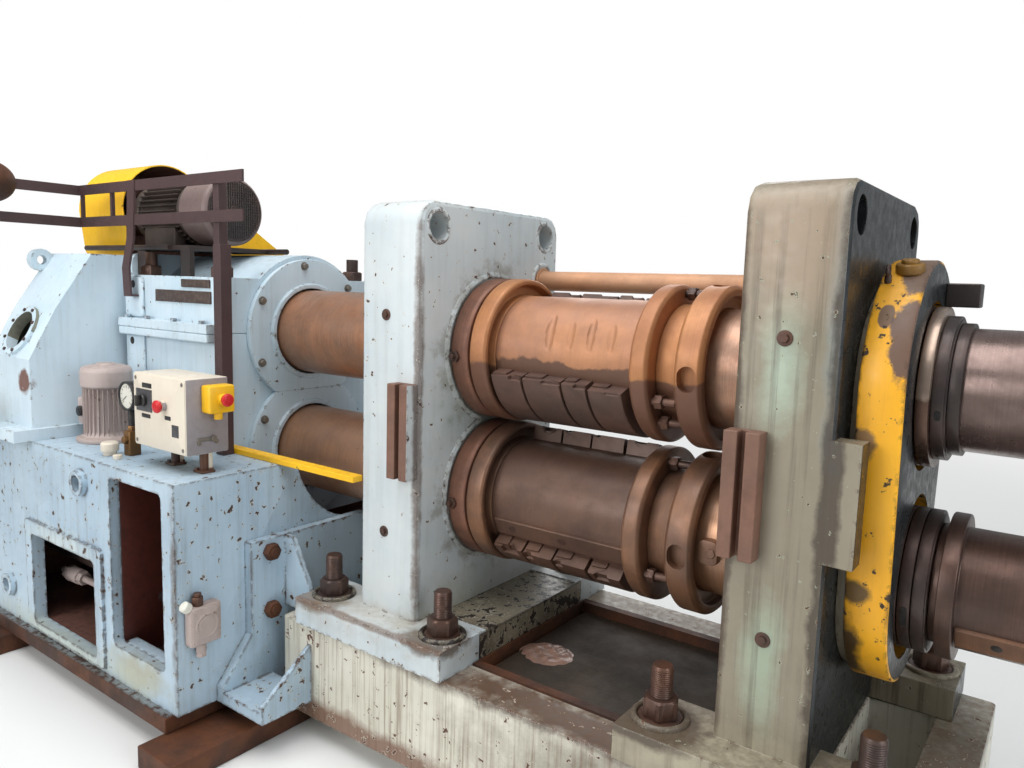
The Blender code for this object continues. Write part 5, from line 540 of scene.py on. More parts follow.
# stage: the floor
bpy.ops.mesh.primitive_plane_add(size=80, location=(0, 0, -0.0005))
floor = bpy.context.object
floor.name = "floor"
material, tree, shader = blank("pale concrete, plain")
shader.inputs["Base Color"].default_value = tint("#e4e4e2")
shader.inputs["Roughness"].default_value = 0.8
far = add(tree, "VectorMath", {0: add(tree, "TexCoord", out=3)}, 1, operation="LENGTH")
fade = add(tree, "MapRange", {"Value": far, 1: 2.2, 2: 7.0})
fade = add(tree, "Math", {0: fade, 1: add(tree, "LightPath")}, operation="MULTIPLY")
white = add(tree, "Emission", {"Color": (1, 1, 1, 1), "Strength": 1.0})
tree.links.new(add(tree, "MixShader", {0: fade, 1: shader.outputs[0], 2: white}), tree.nodes["Material Output"].inputs["Surface"])
floor.data.materials.append(material)

# castings and plates that keep the CAD solid's form
castings = {
    "drive_sleeper": (rustSteel, "rusty_steel", 0.004),
    "middle_sleeper": (rustSteel, "rusty_steel", 0.004),
    "roll_sleeper": (rustSteel, "rusty_steel", 0.004),
    "base_frame": (baseBlue, "green_paint", 0.006),
    "scale_tray": (rustSteel, "rusty_steel", 0.0015),
    "apron_plate": (apronCoat, "rusty_steel", 0.004),
    "inner_stand": (lightBlue, "blue_paint", 0.005),
    "outer_stand": (greyGreen, "green_paint", 0.005),
    "inner_guide": (guideSteel, "roll_steel", 0.002),
    "outer_guide": (guideSteel, "roll_steel", 0.002),
    "cabinet": (boxBlue, "blue_paint", 0.003),
    "cabinet_plinth": (rustSteel, "brown_primer", 0.004),
    "front_link_bracket": (boxBlue, "blue_paint", 0.004),
    "rear_link_bracket": (boxBlue, "blue_paint", 0.004),
    "gearbox_lower": (gearBlue, "blue_paint", 0.006),
    "gearbox_upper": (gearBlue, "blue_paint", 0.006),
    "gear_housing": (gearBlue, "blue_paint", 0.006),
    "slide_plate": (oilSteel, "dark_steel", 0.002),
    "belt_guard": (guardYellow, "yellow_paint", 0.0015),
    "rail_frame": (primer, "brown_primer", 0.001),
    "rail_post": (primer, "brown_primer", 0.002),
    "stop_bar": (oilSteel, "dark_steel", 0.003),
    "junction_box": (paleGrey, "pale_paint", 0.002),
    "front_bar": (guardYellow, "yellow_paint", 0.002),
}
cast = {}
for node, (material, slotName, edge) in castings.items():
    cast[node] = dress(node, "machine", material, edge)
# the outer stand's right-facing faces: oil and painted shade; the walls of its lifting holes: painted shade
second(cast["outer_stand"], oilAndShadeBlue, lambda x, y, z, nx, ny, nz: ((nx > 0.7) & (x > 1.39)) | (np.hypot(np.abs(y) - 0.225, z - 1.356) < 0.045))
second(cast["cabinet_plinth"], plinthBlue, lambda x, y, z, nx, ny, nz: nz > 0.7)
second(cast["inner_guide"], lightBlue, lambda x, y, z, nx, ny, nz: (nx > 0.7) & (x > 0.45))
second(cast["cabinet"], darkInside, lambda x, y, z, nx, ny, nz: (x > -1.23) & (x < -0.06) & (np.abs(y) < 0.61) & (z < 0.69) & (z > 0.12))
second(cast["gear_housing"], housingInside, lambda x, y, z, nx, ny, nz: ~((ny < -0.3) & (nz > 0.2)) & (nz < 0.9) & (x > -1.09) & (x < -0.85) & (y > -0.585) & (y < -0.14) & (z < 1.26) & ((z - 1.0) + 0.5 * (y + 0.58) < 0.13))
second(cast["belt_guard"], darkInside, lambda x, y, z, nx, ny, nz: ((nx > 0.7) & (x < -1.19)) | ((nx < -0.7) & (x > -0.93)) | ((np.abs(nx) < 0.5) & (np.hypot(y + 0.12, z - 1.437) < 0.1575) & (z > 1.40)))
sill = block((-0.352, -0.599, 0.178), (-0.095, -0.565, 0.206), 0.002, 0.002)
build("cabinet_slot_sill", [sill], "machine", boxBlue)
build("cabinet_slot_panel", [block((-0.378, -0.599, 0.150), (-0.357, -0.440, 0.690), 0.002, 0.002)], "machine", oxideInside)
x, y = np.meshgrid(np.linspace(0.6255, 1.2125, 90), np.linspace(-0.249, 0.249, 80), indexing="ij")
wave = 0.0004 * np.sin(23 * x + 3 * np.sin(11 * y)) * np.cos(19 * y)  # z = base + ripple + heap exp(-((x - a) / p)^2 - ((y - b) / q)^2)
heap = np.exp(-((x - 0.69) / 0.060) ** 2 - ((y + 0.055) / 0.055) ** 2)
film = 0.2925 + wave + 0.004 * heap
edge = np.maximum(np.abs(x - 0.919) / 0.2935, np.abs(y) / 0.249) > 0.9999
film = np.where(edge, 0.2875, film)
build("tray_film", [grid(np.stack([x, y, film], -1))], "machine", grimeCoat)
x, y = np.meshgrid(np.linspace(-1, 1, 60), np.linspace(-1, 1, 60), indexing="ij")
mound = 0.0125 * (1 - x ** 2) * (1 - y ** 2) * (1 + 0.35 * np.sin(11 * x + 2 * y) * np.sin(9 * y - 3 * x))  # z = base + h (1 - x^2) (1 - y^2), lumpy
mound = np.stack([0.695 + 0.075 * x * np.sqrt(1 - 0.5 * y ** 2), -0.055 + 0.065 * y * np.sqrt(1 - 0.5 * x ** 2), 0.2915 + mound], -1)
build("tray_sludge", [grid(mound)], "machine", sludge)
print("castings dressed")


# shafts; the upper one has a long slot and the lower one a key block beside the outer stand
shaftSlots = {"upper": [(1.138, 146, 0.010, 0.046, 0.006)], "lower": []}


def makeShaft(level, material):
    low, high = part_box(f"{level}_shaft")
    z = axisZ[level]
    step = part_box(f"{level}_outboard_collar")[0].x - 0.005
    path = [(low.x, 0.0), (low.x, 0.127), (low.x + 0.003, 0.130), (1.115, 0.130), *line((1.118, 0.130), (1.160, 0.130), 22)]
    path += [(1.165, 0.130), (step - 0.003, 0.130), (step, 0.127), (step, 0.090), (high.x - 0.003, 0.090), (high.x, 0.087), (high.x, 0)]
    build(f"{level}_shaft_turned", [pressed(path, z, shaftSlots[level])], f"{level}_roll", material, (f"{level}_shaft",))


makeShaft("upper", shaftSteel)
makeShaft("lower", brownShaft)
a = math.radians(184)
key = push(rectangle((1.117, 0.660), (1.160, 0.712), 0.014), -0.120, -0.148, "XZ", 0.003)
build("lower_shaft_key", [key, hexagon((1.146, -0.147, 0.686), (0, -1, 0), 0.018, 0.004)], "lower_roll", darkRing)


# flange: outer disc with a turned recess on the die side
def makeFlange(level, material):
    low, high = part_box(f"{level}_roll_flange")
    path = [
        (low.x, 0.1305), (low.x, 0.176), (low.x + 0.006, 0.182), (high.x - 0.006, 0.182), (high.x, 0.177),
        (high.x, 0.168), (high.x - 0.022, 0.164), (high.x - 0.022, 0.143), (high.x, 0.141), (high.x, 0.1305),
    ]
    shape = turn(eased(path, 0.003, 3, True), (0, 0, axisZ[level]), steps=160, closed=True)
    build(f"{level}_flange_turned", [shape], f"{level}_roll", material, (f"{level}_roll_flange",))


def makeBearingRing(level):
    low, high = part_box(f"{level}_bearing_ring")
    path = [
        (low.x, 0.1315), (low.x, 0.174), (low.x + 0.010, 0.182), (high.x - 0.010, 0.182), (high.x, 0.178),
        (high.x, 0.150), (high.x - 0.006, 0.146), (high.x - 0.006, 0.1315),
    ]
    shape = turn(eased(path, 0.003, 3, True), (0, 0, axisZ[level]), steps=160, closed=True)
    plug = [
        hexagon((0.476, -0.178, axisZ[level] - 0.012), (0, -1, -0.03), 0.026, 0.012),
        rod((0.476, -0.186, axisZ[level] - 0.012), (0.476, -0.200, axisZ[level] - 0.012), 0.007),
    ]
    build(f"{level}_bearing_ring_turned", [shape], "machine", bearingSteel, (f"{level}_bearing_ring",))
    build(f"{level}_grease_plug", plug, "machine", boltSteel)


# die sleeve and its half-shell segments
dieSet = {"left": 0.009, "right": 0.019, "gap": 0.005}
dieSplits = {"upper": (0, 0.255, 0.558, 0.748, 1), "lower": (0, 0.25, 0.49, 0.75, 1)}
dieFront = {"upper": 200.0, "lower": 222.0}
dieRear = {"upper": 415.0, "lower": 437.0}
dieLift = (3.906, 3.125, 2.735, 0.0)


# one half-shell: a section swept round the axis; its outer side drops by a notch beside the front edge
def dieSegment(left, right, z, start, end, notch):
    inner, outer, rim = 0.137, 0.176, 0.004
    top = line((left + rim, outer), (right - rim, outer), 26)
    section = np.array([(left, inner), (left, outer - rim), (left + rim * 0.3, outer - rim * 0.3), *top, (right - rim * 0.3, outer - rim * 0.3), (right, outer - rim), (right, inner)])
    a = np.concatenate([start + np.linspace(0, 12, 31), np.linspace(start + 14, end - 14, 60), end + np.linspace(-12, 0, 31)])
    a = np.concatenate([a[:1], a, a[-1:]])
    x, r = np.repeat(section[None, :, 0], len(a), 0), np.repeat(section[None, :, 1], len(a), 0)
    share = (x - left) / (right - left)
    low, high, reach, drop = notch
    cut = (r > outer - rim * 1.2) & (share > low) & (share < high) & ((a[:, None] < start + reach) | (a[:, None] > end - reach))
    r = np.where(cut, r - drop, r)
    x[[0, -1]] = section[:, 0].mean()
    r[[0, -1]] = (inner + outer) / 2
    a = np.radians(a)[:, None]
    return grid(np.stack([x, r * np.cos(a), z + r * np.sin(a)], -1), False, True)


dents = {"upper": [(0.39, 154, 0.0115, 0.046, 0.0055), (0.54, 156, 0.010, 0.034, 0.003), (0.68, 154, 0.010, 0.040, 0.0045), (0.82, 156, 0.010, 0.034, 0.003)], "lower": []}
notches = {
    "upper": ((0.62, 1.0, 3.2, 0.010), (0.55, 1.0, 2.4, 0.007), (0.55, 1.0, 2.8, 0.009), (0.55, 0.9, 1.8, 0.003)),
    "lower": ((0.30, 0.84, 8.0, 0.011), (0.02, 0.30, 7.0, 0.006), (0.02, 0.25, 6.0, 0.006), (0.20, 0.62, 7.0, 0.006)),
}


def makeDies(level, material):
    low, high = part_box(f"{level}_dies")
    z = axisZ[level]
    path = [(low.x, 0.1305), (low.x, 0.138), *line((low.x + 0.002, 0.140), (high.x - 0.002, 0.140), 128), (high.x, 0.138), (high.x, 0.1305)]
    ovals = [(low.x + (high.x - low.x) * share, *rest) for share, *rest in dents[level]]
    parts = [pressed(path, z, ovals)]
    span = high.x - low.x - dieSet["left"] - dieSet["right"] + dieSet["gap"]
    splits = dieSplits[level]
    for i, lift in enumerate(dieLift):
        left = low.x + dieSet["left"] + span * splits[i]
        right = low.x + dieSet["left"] + span * splits[i + 1] - dieSet["gap"]
        parts.append(dieSegment(left, right, z, dieFront[level] - lift, dieRear[level] + lift, notches[level][i]))
        # flat lug at the front edge, its face along the dies' split
        lug = eased([(left + 0.003, 0.137), (left + 0.003, 0.170 - 0.004 * i), ((left + right) / 2, 0.168 - 0.004 * i), ((left + right) / 2, 0.137)], 0.003, 3, True)
        parts.append(sector(lug, 0, z, dieFront[level] - lift - 1.6, dieFront[level] - lift + 6, 8))
    screws = []
    if level == "lower":  # key bar with a flat top, two sunk screws
        a = math.radians(205)
        out, along = np.array((0, math.cos(a), math.sin(a))), np.array((0, -math.sin(a), math.cos(a)))
        rows = []
        for x, size in ((low.x + 0.010, 0), (low.x + 0.010, 1), (high.x - 0.006, 1), (high.x - 0.006, 0)):
            corners = [(0.134, -0.023), (0.1425, -0.023), (0.144, -0.0215), (0.144, 0.0215), (0.1425, 0.023), (0.134, 0.023)]
            rows.append([np.array((x, 0, z)) + out * (0.139 + (r - 0.139) * size) + along * t * size for r, t in corners])
        parts.append(grid(np.array(rows), False, True))
        for x in (low.x + 0.060, low.x + 0.205):
            foot = np.array((x, 0, z)) + out * 0.1435
            ring = turn(eased([(0, 0.0070), (0, 0.0105), (0.0014, 0.0105), (0.0014, 0.0070)], 0.0005, 2, True), foot, out, 32, True)
            screws += [ring, rod(foot, foot + out * 0.0006, 0.0072, 24, 0.0002)]
    build(f"{level}_sleeve_turned", parts[:1], f"{level}_roll", material, (f"{level}_dies",))
    build(f"{level}_die_segments", parts[1:], f"{level}_roll", dieMaterial[level])
    if screws:
        build(f"{level}_key_screws", screws, f"{level}_roll", boltSteel)


# clamp ring with two hexagon set screws towards the ring nut
setScrews = {"upper": (206, 228, 90), "lower": (106, 211, 300)}


def makeClampRing(level, material):
    low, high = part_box(f"{level}_clamp_ring")
    z = axisZ[level]
    path = [(low.x, 0.1305), (low.x, 0.171), (low.x + 0.007, 0.178), (high.x - 0.007, 0.178), (high.x, 0.171), (high.x, 0.1305)]
    shape = turn(eased(path, 0.003, 3, True), (0, 0, z), steps=160, closed=True)
    screws = []
    for angle in setScrews[level]:
        a = math.radians(angle)
        y, up = 0.158 * math.cos(a), z + 0.158 * math.sin(a)
        screws.append(rod((high.x - 0.002, y, up), (high.x + 0.055, y, up), 0.009))
        screws.append(hexagon((high.x + 0.008, y, up), (1, 0, 0), 0.028, 0.018))
    build(f"{level}_clamp_ring_turned", [shape], f"{level}_roll", material, (f"{level}_clamp_ring",))
    build(f"{level}_set_screws", screws, f"{level}_roll", boltSteel)


# ring nut: neck, rim with oval spanner holes, recess on the outer side
def makeRingNut(level, material):
    low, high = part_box(f"{level}_ring_nut")
    z = axisZ[level]
    left = high.x - 0.062
    path = [
        (low.x, 0.1305), (low.x, 0.136), (left, 0.136), (left, 0.172), (left + 0.008, 0.180), (high.x - 0.008, 0.180),
        (high.x, 0.172), (high.x, 0.158), (high.x - 0.018, 0.155), (high.x - 0.018, 0.1305),
    ]
    shape = turn(eased(path, 0.003, 3, True), (0, 0, z), steps=160, closed=True)
    cutters = []
    for i in range(4):
        a = math.radians(184 + 90 * i)
        out = np.array((0, math.cos(a), math.sin(a)))
        along = np.array((0, -math.sin(a), math.cos(a)))
        cutters.append(slotPrism(np.array(((left + high.x) / 2, 0, z)) + out * 0.1585, out, along, 0.021, 0.012, 0.04))
    buildCarved(f"{level}_ring_nut_turned", [shape], cutters, f"{level}_roll", material, (f"{level}_ring_nut",))


def makeOutboard(level):
    low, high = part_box(f"{level}_outboard_collar")
    z = axisZ[level]
    width = (high.x - low.x) / 3
    radii = (0.150, 0.136, 0.134) if level == "upper" else (0.136, 0.136, 0.136)
    path = [(low.x, 0.0905)]
    for i, r in enumerate(radii):
        gap = 0.0025
        path += [(low.x + i * width, r), (low.x + (i + 1) * width - gap, r), (low.x + (i + 1) * width - gap, r - 0.006)]
    path += [(high.x, radii[2] - 0.006), (high.x, 0.0905)]
    shape = turn(eased(path, 0.0012, 2, True), (0, 0, z), steps=160, closed=True)
    build(f"{level}_outboard_collar_turned", [shape], f"{level}_roll", oilSteel, (f"{level}_outboard_collar",))
    if level == "upper":  # the first free ring is rubbed bright above and has painted shade under the axis's height
        band = [(low.x + width + 0.001, 0.130), (low.x + width + 0.001, 0.150), (low.x + 2 * width - 0.001, 0.150), (low.x + 2 * width - 0.001, 0.130)]
        last = [(high.x + 0.0005, 0.112), (high.x + 0.0005, 0.122), (high.x + 0.020, 0.122), (high.x + 0.020, 0.112)]
        build("upper_collar_end", [turn(eased(last, 0.0012, 2, True), (0, 0, z), steps=160, closed=True)], "upper_roll", oilSteel)
        build("upper_collar_band", [turn(eased(band, 0.0012, 2, True), (0, 0, z), steps=160, closed=True)], "upper_roll", collarBright)
    # the slots are thin dark prisms on the surface: painted shade
    slots = []
    for angle in (196, 16):
        x, r = low.x + width * (2.5 if level == "upper" else 1.5), radii[2]
        a = math.radians(angle)
        out, along = np.array((0, math.cos(a), math.sin(a))), np.array((0, -math.sin(a), math.cos(a)))
        foot = np.array((x, 0, z)) + out * (r - 0.002)
        slots.append(slotPrism(foot, out, along, 0.0055, 0.030 if level == "lower" else 0.008, 0.0024))
    build(f"{level}_collar_slot_shade", slots, f"{level}_roll", holeShade)
    low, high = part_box(f"{level}_outboard_roll")
    path = [(low.x, 0.0905), (low.x, 0.113)]
    if level == "lower":
        path += [(low.x + 0.014, 0.113), (low.x + 0.014, 0.137), (low.x + 0.042, 0.137), (low.x + 0.042, 0.113)]
    path += [(high.x - 0.028, 0.113), (high.x - 0.028, 0.137), (high.x, 0.137), (high.x, 0.0905)]
    shape = turn(eased(path, 0.003, 3, True), (0, 0, z), steps=160, closed=True)
    build(f"{level}_outboard_roll_turned", [shape], f"{level}_roll", rollBright if level == "upper" else outboardBrown, (f"{level}_outboard_roll",))
    if level == "lower":  # key bar with two holes across the flanged sleeve
        a = math.radians(214)
        out, along = np.array((0, math.cos(a), math.sin(a))), np.array((0, -math.sin(a), math.cos(a)))
        rows = []
        for x, size in ((low.x + 0.046, 0), (low.x + 0.046, 1), (high.x - 0.032, 1), (high.x - 0.032, 0)):
            corners = [(0.108, -0.024), (0.1165, -0.024), (0.118, -0.0225), (0.118, 0.0225), (0.1165, 0.024), (0.108, 0.024)]
            rows.append([np.array((x, 0, z)) + out * (0.112 + (r - 0.112) * size) + along * t * size for r, t in corners])
        bar = [grid(np.array(rows), False, True)]
        build("lower_outboard_key", bar, "lower_roll", darkRing)
        # the holes are thin dark discs: painted shade
        holes = []
        for x in (low.x + 0.11, low.x + 0.24):
            foot = np.array((x, 0, z)) + out * 0.1176
            holes.append(rod(foot, foot + out * 0.0008, 0.009, 24, 0.0002))
        build("lower_key_hole_shade", holes, "lower_roll", holeShade)
    low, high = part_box(f"{level}_end_nut")
    path = [(low.x, 0.0905), (low.x, 0.120), (low.x + 0.008, 0.128), (high.x - 0.008, 0.128), (high.x, 0.120), (high.x, 0.0905)]
    shape = turn(eased(path, 0.003, 3, True), (0, 0, z), steps=128, closed=True)
    build(f"{level}_end_nut_turned", [shape], f"{level}_roll", oilSteel, (f"{level}_end_nut",))


dieMaterial = {"upper": steel("die steel, scaled", "#54413a", "#6d5044", "#3a2c27", 0.25, 0.48, 0.2, 0.4, 0.5), "lower": darkRoll}
# rubbed bright, with painted shade under a line near the upper axis
collarBright = steel("collar steel, rubbed bright, painted shade under the axis", "#b8a394", "#cbb3a0", "#7a665a", 0.8, 0.26, 0.6, 0.4, 0.4, 0.08, shadeBelow="#5b4136", level=1.045)
for level, material, rings in (("upper", warmRoll, warmRing), ("lower", darkRoll, darkRing)):
    makeFlange(level, rings)
    makeBearingRing(level)
    makeDies(level, material)
    makeClampRing(level, rings)
    makeRingNut(level, rings)
    makeOutboard(level)
print("rolls made")


# end plate: an obround plate and spigot, the upper end wider, taken out round both shafts
def obround(upper, lower, steps=48):
    a = np.linspace(0, math.pi, steps)
    top = np.stack([upper * np.cos(a), upperZ + upper * np.sin(a)], -1)
    bottom = np.stack([-lower * np.cos(a), lowerZ - lower * np.sin(a)], -1)
    return np.concatenate([top, bottom])


low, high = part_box("end_plate")
plateMiddle = (0, (upperZ + lowerZ) / 2)
plateParts = {
    "end_plate_milled": (push(obround(0.235, 0.205), low.x + 0.017, high.x, "YZ", 0.005, plateMiddle), yellow, "yellow_paint"),
    # the plate's right-facing face: oil and painted shade
    "end_plate_face": (push(obround(0.229, 0.199), high.x - 0.001, high.x + 0.0006, "YZ", 0.0003, plateMiddle), oilAndShadeBlue, "green_paint"),
    "end_plate_spigot": (push(obround(0.190, 0.190), low.x, low.x + 0.019, "YZ", 0.002, plateMiddle), greyGreen, "green_paint"),
}
for name, (shape, material, slotName) in plateParts.items():
    cutters = [rod((low.x - 0.02, 0, z), (high.x + 0.02, 0, z), 0.160, 128, 0.0) for z in (upperZ, lowerZ)]
    buildCarved(name, [shape], cutters, "machine", material, ("end_plate",) if name == "end_plate_milled" else ())
# greasy plug and lifting eye on the plate's top rim
plug = [rod((1.462, -0.100, 1.262), (1.462, -0.104, 1.281), 0.024, 40, 0.005), rod((1.462, -0.104, 1.278), (1.462, -0.106, 1.288), 0.015, 32, 0.004)]
build("plate_grease_plug", plug, "machine", greaseCoat)
a = np.linspace(0, full, 49)
eyeRing = np.stack([np.full(49, 1.434), -0.139 + 0.0085 * np.cos(a), 1.266 + 0.0085 * np.sin(a)], -1)
build("plate_eye", [tube(eyeRing, 0.0032, 10), rod((1.434, -0.136, 1.244), (1.434, -0.1385, 1.259), 0.006)], "machine", boltSteel)

low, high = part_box("tie_rod")
tiePath = [(low.x, 0), (low.x, 0.036), (low.x + 0.008, 0.036), (low.x + 0.008, 0.027), (high.x - 0.008, 0.027), (high.x - 0.008, 0.036), (high.x, 0.036), (high.x, 0)]
build("tie_rod_turned", [turn(eased(tiePath, 0.002), (0, 0.215, 1.235), steps=64)], "machine", tieSteel, ("tie_rod",))


# foot bolts: stud, thick nut and washer at each foot of both stands
footBolt = {"stud": 0.022, "top": 0.496, "flats": 0.065, "nut": 0.040, "washer": 0.044}
bolts = []
lips = {0.357: [], 1.3145: []}
footTop = 0.386
for centre in (0.357, 1.3145):
    for dx in (-0.193, 0.193):
        for y in (-0.295, 0.295):
            x = centre + dx
            turnBy = 0.4 * dx / 0.193 + y
            bolts.append(rod((x, y, footTop), (x, y, footTop + 0.006), footBolt["washer"], 48, 0.0015))
            lip = [(0, 0.047), (0.004, 0.0455), (0.009, 0.048), (0.010, 0.052), (0.007, 0.057), (0, 0.059)]
            lips[centre].append(turn(eased(lip, 0.001, 2, True), (x, y, footTop), (0, 0, 1), 64, True))
            bolts.append(hexagon((x, y, footTop + 0.006), (0, 0, 1), footBolt["flats"], footBolt["nut"], turnBy))
            h = np.linspace(footTop + 0.046, footBolt["top"] - 0.004, 60)
            thread = np.stack([h, footBolt["stud"] - 0.0011 * (0.5 + 0.5 * np.cos(h * full / 0.0042))], -1)  # 4 mm pitch
            thread = np.concatenate([[(footTop + 0.040, 0)], thread, [(footBolt["top"], footBolt["stud"] * 0.85), (footBolt["top"], 0)]])
            bolts.append(turn(thread, (x, y, 0), (0, 0, 1), 32))
build("foot_bolts", bolts, "machine", boltSteel)
build("inner_foot_lips", lips[0.357], "machine", apronCoat)
build("outer_foot_lips", lips[1.3145], "machine", greyGreen)

# painted lips cast on the inner stand: round the bearing rings, the lifting holes and the tie rod
face = 0.4545
section = eased([(face - 0.001, 0.1835), (face + 0.005, 0.1835), (face + 0.006, 0.187), (face + 0.002, 0.196), (face - 0.001, 0.198)], 0.001, 2, True)
castLips = [sector(section, 0, upperZ, -74, 254, 120), sector(section, 0, lowerZ, 106, 434, 120)]
for y in (-0.225, 0.225):
    ring = [(face - 0.001, 0.0342), (face + 0.0025, 0.0345), (face + 0.003, 0.039), (face - 0.001, 0.046)]
    castLips.append(turn(eased(ring, 0.001, 2, True), (0, y, 1.356), steps=64, closed=True))
ring = [(face - 0.001, 0.040), (face + 0.004, 0.041), (face + 0.004, 0.047), (face - 0.001, 0.052)]
castLips.append(turn(eased(ring, 0.001, 2, True), (0, 0.215, 1.235), steps=64, closed=True))
build("inner_stand_lips", castLips, "machine", lightBlue)


# screwed plugs on the fronts of the stands
plugs = []
for x, z in ((0.346, 1.141), (0.345, 0.597), (1.310, 1.145), (1.309, 0.601)):
    plugs.append(rod((x, -0.289, z), (x, -0.2925, z), 0.014, 32, 0.001))
    plugs.append(hexagon((x, -0.292, z), (0, -1, 0), 0.014, 0.006))
build("stand_plugs", plugs, "machine", boltSteel)
print("stands finished")

# gearbox covers with their raised lips and bolts
coverBolts = {"upper": (97, 152, 206, 42, 348), "lower": (150, 205, 262, 318, 12)}
for level in ("upper", "lower"):
    low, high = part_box(f"{level}_gearbox_cover")
    z = axisZ[level]
    path = [(low.x, 0.136), (low.x, 0.227), (low.x + 0.018, 0.227), (low.x + 0.018, 0.151), (high.x, 0.149), (high.x, 0.136)]
    shape = turn(eased(path, 0.0025, 3, True), (0, 0, z), steps=160, closed=True)
    meeting = (upperZ + lowerZ) / 2
    if level == "upper":
        cutter = block((low.x - 0.02, -0.25, z - 0.26), (high.x + 0.02, 0.25, meeting + 0.0004), 0.004, 0.001)
    else:
        cutter = block((low.x - 0.02, -0.25, meeting - 0.0004), (high.x + 0.02, 0.25, z + 0.26), 0.004, 0.001)
    buildCarved(f"{level}_cover_turned", [shape], [cutter], "machine", gearBlue, (f"{level}_gearbox_cover",))
    heads = []
    for angle in coverBolts[level]:
        a = math.radians(angle)
        y, up = 0.207 * math.cos(a), z + 0.207 * math.sin(a)
        heads.append(rod((low.x + 0.016, y, up), (low.x + 0.021, y, up), 0.013, 32, 0.001))
        heads.append(hexagon((low.x + 0.020, y, up), (1, 0, 0), 0.017, 0.010, angle))
    build(f"{level}_cover_bolts", heads, "machine", zinc)

# bare plates, plugs and lifting studs on the gearbox
details = [
    push(rectangle((-0.478, 1.186), (-0.330, 1.210), 0.003), -0.3295, -0.334, "XZ", 0.001),
    push(rectangle((-0.622, 1.140), (-0.326, 1.176), 0.003), -0.3295, -0.334, "XZ", 0.001),
]
build("gearbox_plates", details, "machine", tagBrown)
boss = [push(rectangle((-0.800, z), (-0.690, top), 0.012), -0.329, -0.338, "XZ", 0.006) for z, top in ((1.086, 1.212), (0.740, 1.040))]
build("gearbox_bosses", boss, "machine", gearBlue)
studs = []
for x, y, z in ((-0.735, -0.282, 1.217), (-0.345, -0.282, 1.217), (-0.375, 0.250, 1.217), (-0.735, 0.286, 1.217)):
    studs.append(hexagon((x, y, z), (0, 0, 1), 0.060, 0.032))
    studs.append(rod((x, y, z + 0.03), (x, y, z + 0.074), 0.020, 32))
build("shoulder_studs", studs, "machine", boltSteel)
bores = []
holes = []
# the bores are thin dark discs: painted shade
for x, z in ((-0.745, 1.189), (-0.760, 1.008)):
    bores.append(rod((x, -0.3375, z), (x, -0.3385, z), 0.012, 32, 0.0003))
for x in (-0.77, -0.65, -0.50, -0.35):
    for y in (-0.347, 0.347):
        holes.append(hexagon((x, y, 1.082), (0, 0, 1), 0.019, 0.010))
build("split_bolts", holes, "machine", boxBlue)
build("boss_bore_shade", bores, "machine", holeShade)
print("gearbox finished")

# motor: finned barrel, end shields, cowl with a wire grille, terminal box
motorY, motorZ = -0.150, 1.425
low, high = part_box("motor_body")
bodyLeft, bodyRight = -0.9003, high.x
fins = []
path = eased([(bodyLeft, 0), (bodyLeft, 0.098), (bodyLeft + 0.030, 0.098), (bodyLeft + 0.034, 0.088), (bodyRight - 0.034, 0.088), (bodyRight - 0.030, 0.098), (bodyRight, 0.098), (bodyRight, 0)], 0.004)
fins.append(turn(path, (0, motorY, motorZ), steps=96))
for i in range(36):
    angle = math.radians(i * 10)
    if -0.5 < math.sin(angle) + 0.9 and not (60 < i * 10 < 120):
        out = np.array((0, math.cos(angle), math.sin(angle)))
        side = np.array((0, -math.sin(angle), math.cos(angle))) * 0.0016
        ends = np.array([bodyLeft + 0.032, bodyRight - 0.032])
        corner = []
        for reach, thick in ((0.085, 1.3), (0.101, 1.0), (0.1035, 0.5)):
            corner.append((reach, thick))
        ring = [(r, t) for r, t in corner] + [(r, -t) for r, t in corner[::-1]]
        rows = []
        for x, scale in ((ends[0], 0), (ends[0], 1), (ends[1], 1), (ends[1], 0)):
            row = [np.array((x, motorY, motorZ)) + out * ((r - 0.094) * (1 if scale else 0.0) + 0.094) + side * t * scale for r, t in ring]
            rows.append(row)
        fins.append(grid(np.array(rows), False, True))
fins.append(block((-0.815, motorY - 0.052, motorZ + 0.085), (-0.695, motorY + 0.052, 1.532), 0.008, 0.004))
for y in (motorY - 0.090, motorY + 0.050):
    fins.append(block((-0.845, y, 1.3131), (-0.665, y + 0.040, 1.372), 0.004, 0.003))
build("motor_cast", fins, "machine", motorGrey, ("motor_body",))
low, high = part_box("motor_fan_cowl")
cowl = [(low.x, 0), (low.x, 0.108), (high.x - 0.016, 0.108), (high.x - 0.004, 0.102), (high.x - 0.001, 0.094), (high.x - 0.001, 0)]
build("motor_cowl_pressed", [turn(eased(cowl, 0.004), (0, motorY, motorZ), steps=96)], "machine", motorRose, ("motor_fan_cowl",))
# a dark disc on the cowl's end: painted shade of the opening behind the grille
grille = [rod((high.x - 0.0012, motorY, motorZ), (high.x - 0.0004, motorY, motorZ), 0.088, 64, 0.0002)]
build("motor_fan_opening_shade", grille, "machine", holeShade)
wires = []
for step in np.arange(-0.084, 0.0841, 0.008):  # square mesh, 8 mm
    half = math.sqrt(0.093 ** 2 - step ** 2)
    wires.append(tube([(high.x + 0.0004, motorY + step, motorZ + t * half) for t in (-1, 0, 1)], 0.0013, 5))
    wires.append(tube([(high.x + 0.0010, motorY + t * half, motorZ + step) for t in (-1, 0, 1)], 0.0013, 5))
a = np.linspace(0, full, 73)
wires.append(tube(np.stack([np.full(73, high.x + 0.0005), motorY + 0.093 * np.cos(a), motorZ + 0.093 * np.sin(a)], -1), 0.002, 8))
wires.append(rod((high.x - 0.001, motorY, motorZ), (high.x + 0.003, motorY, motorZ), 0.018, 32, 0.001))
build("motor_grille", wires, "machine", oilSteel)
low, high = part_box("motor_pulley")
build("motor_pulley_turned", [turn(eased([(low.x, 0), (low.x, 0.07), (high.x, 0.07), (high.x, 0)], 0.003), (0, motorY, motorZ), steps=64)], "machine", oilSteel, ("motor_pulley",))

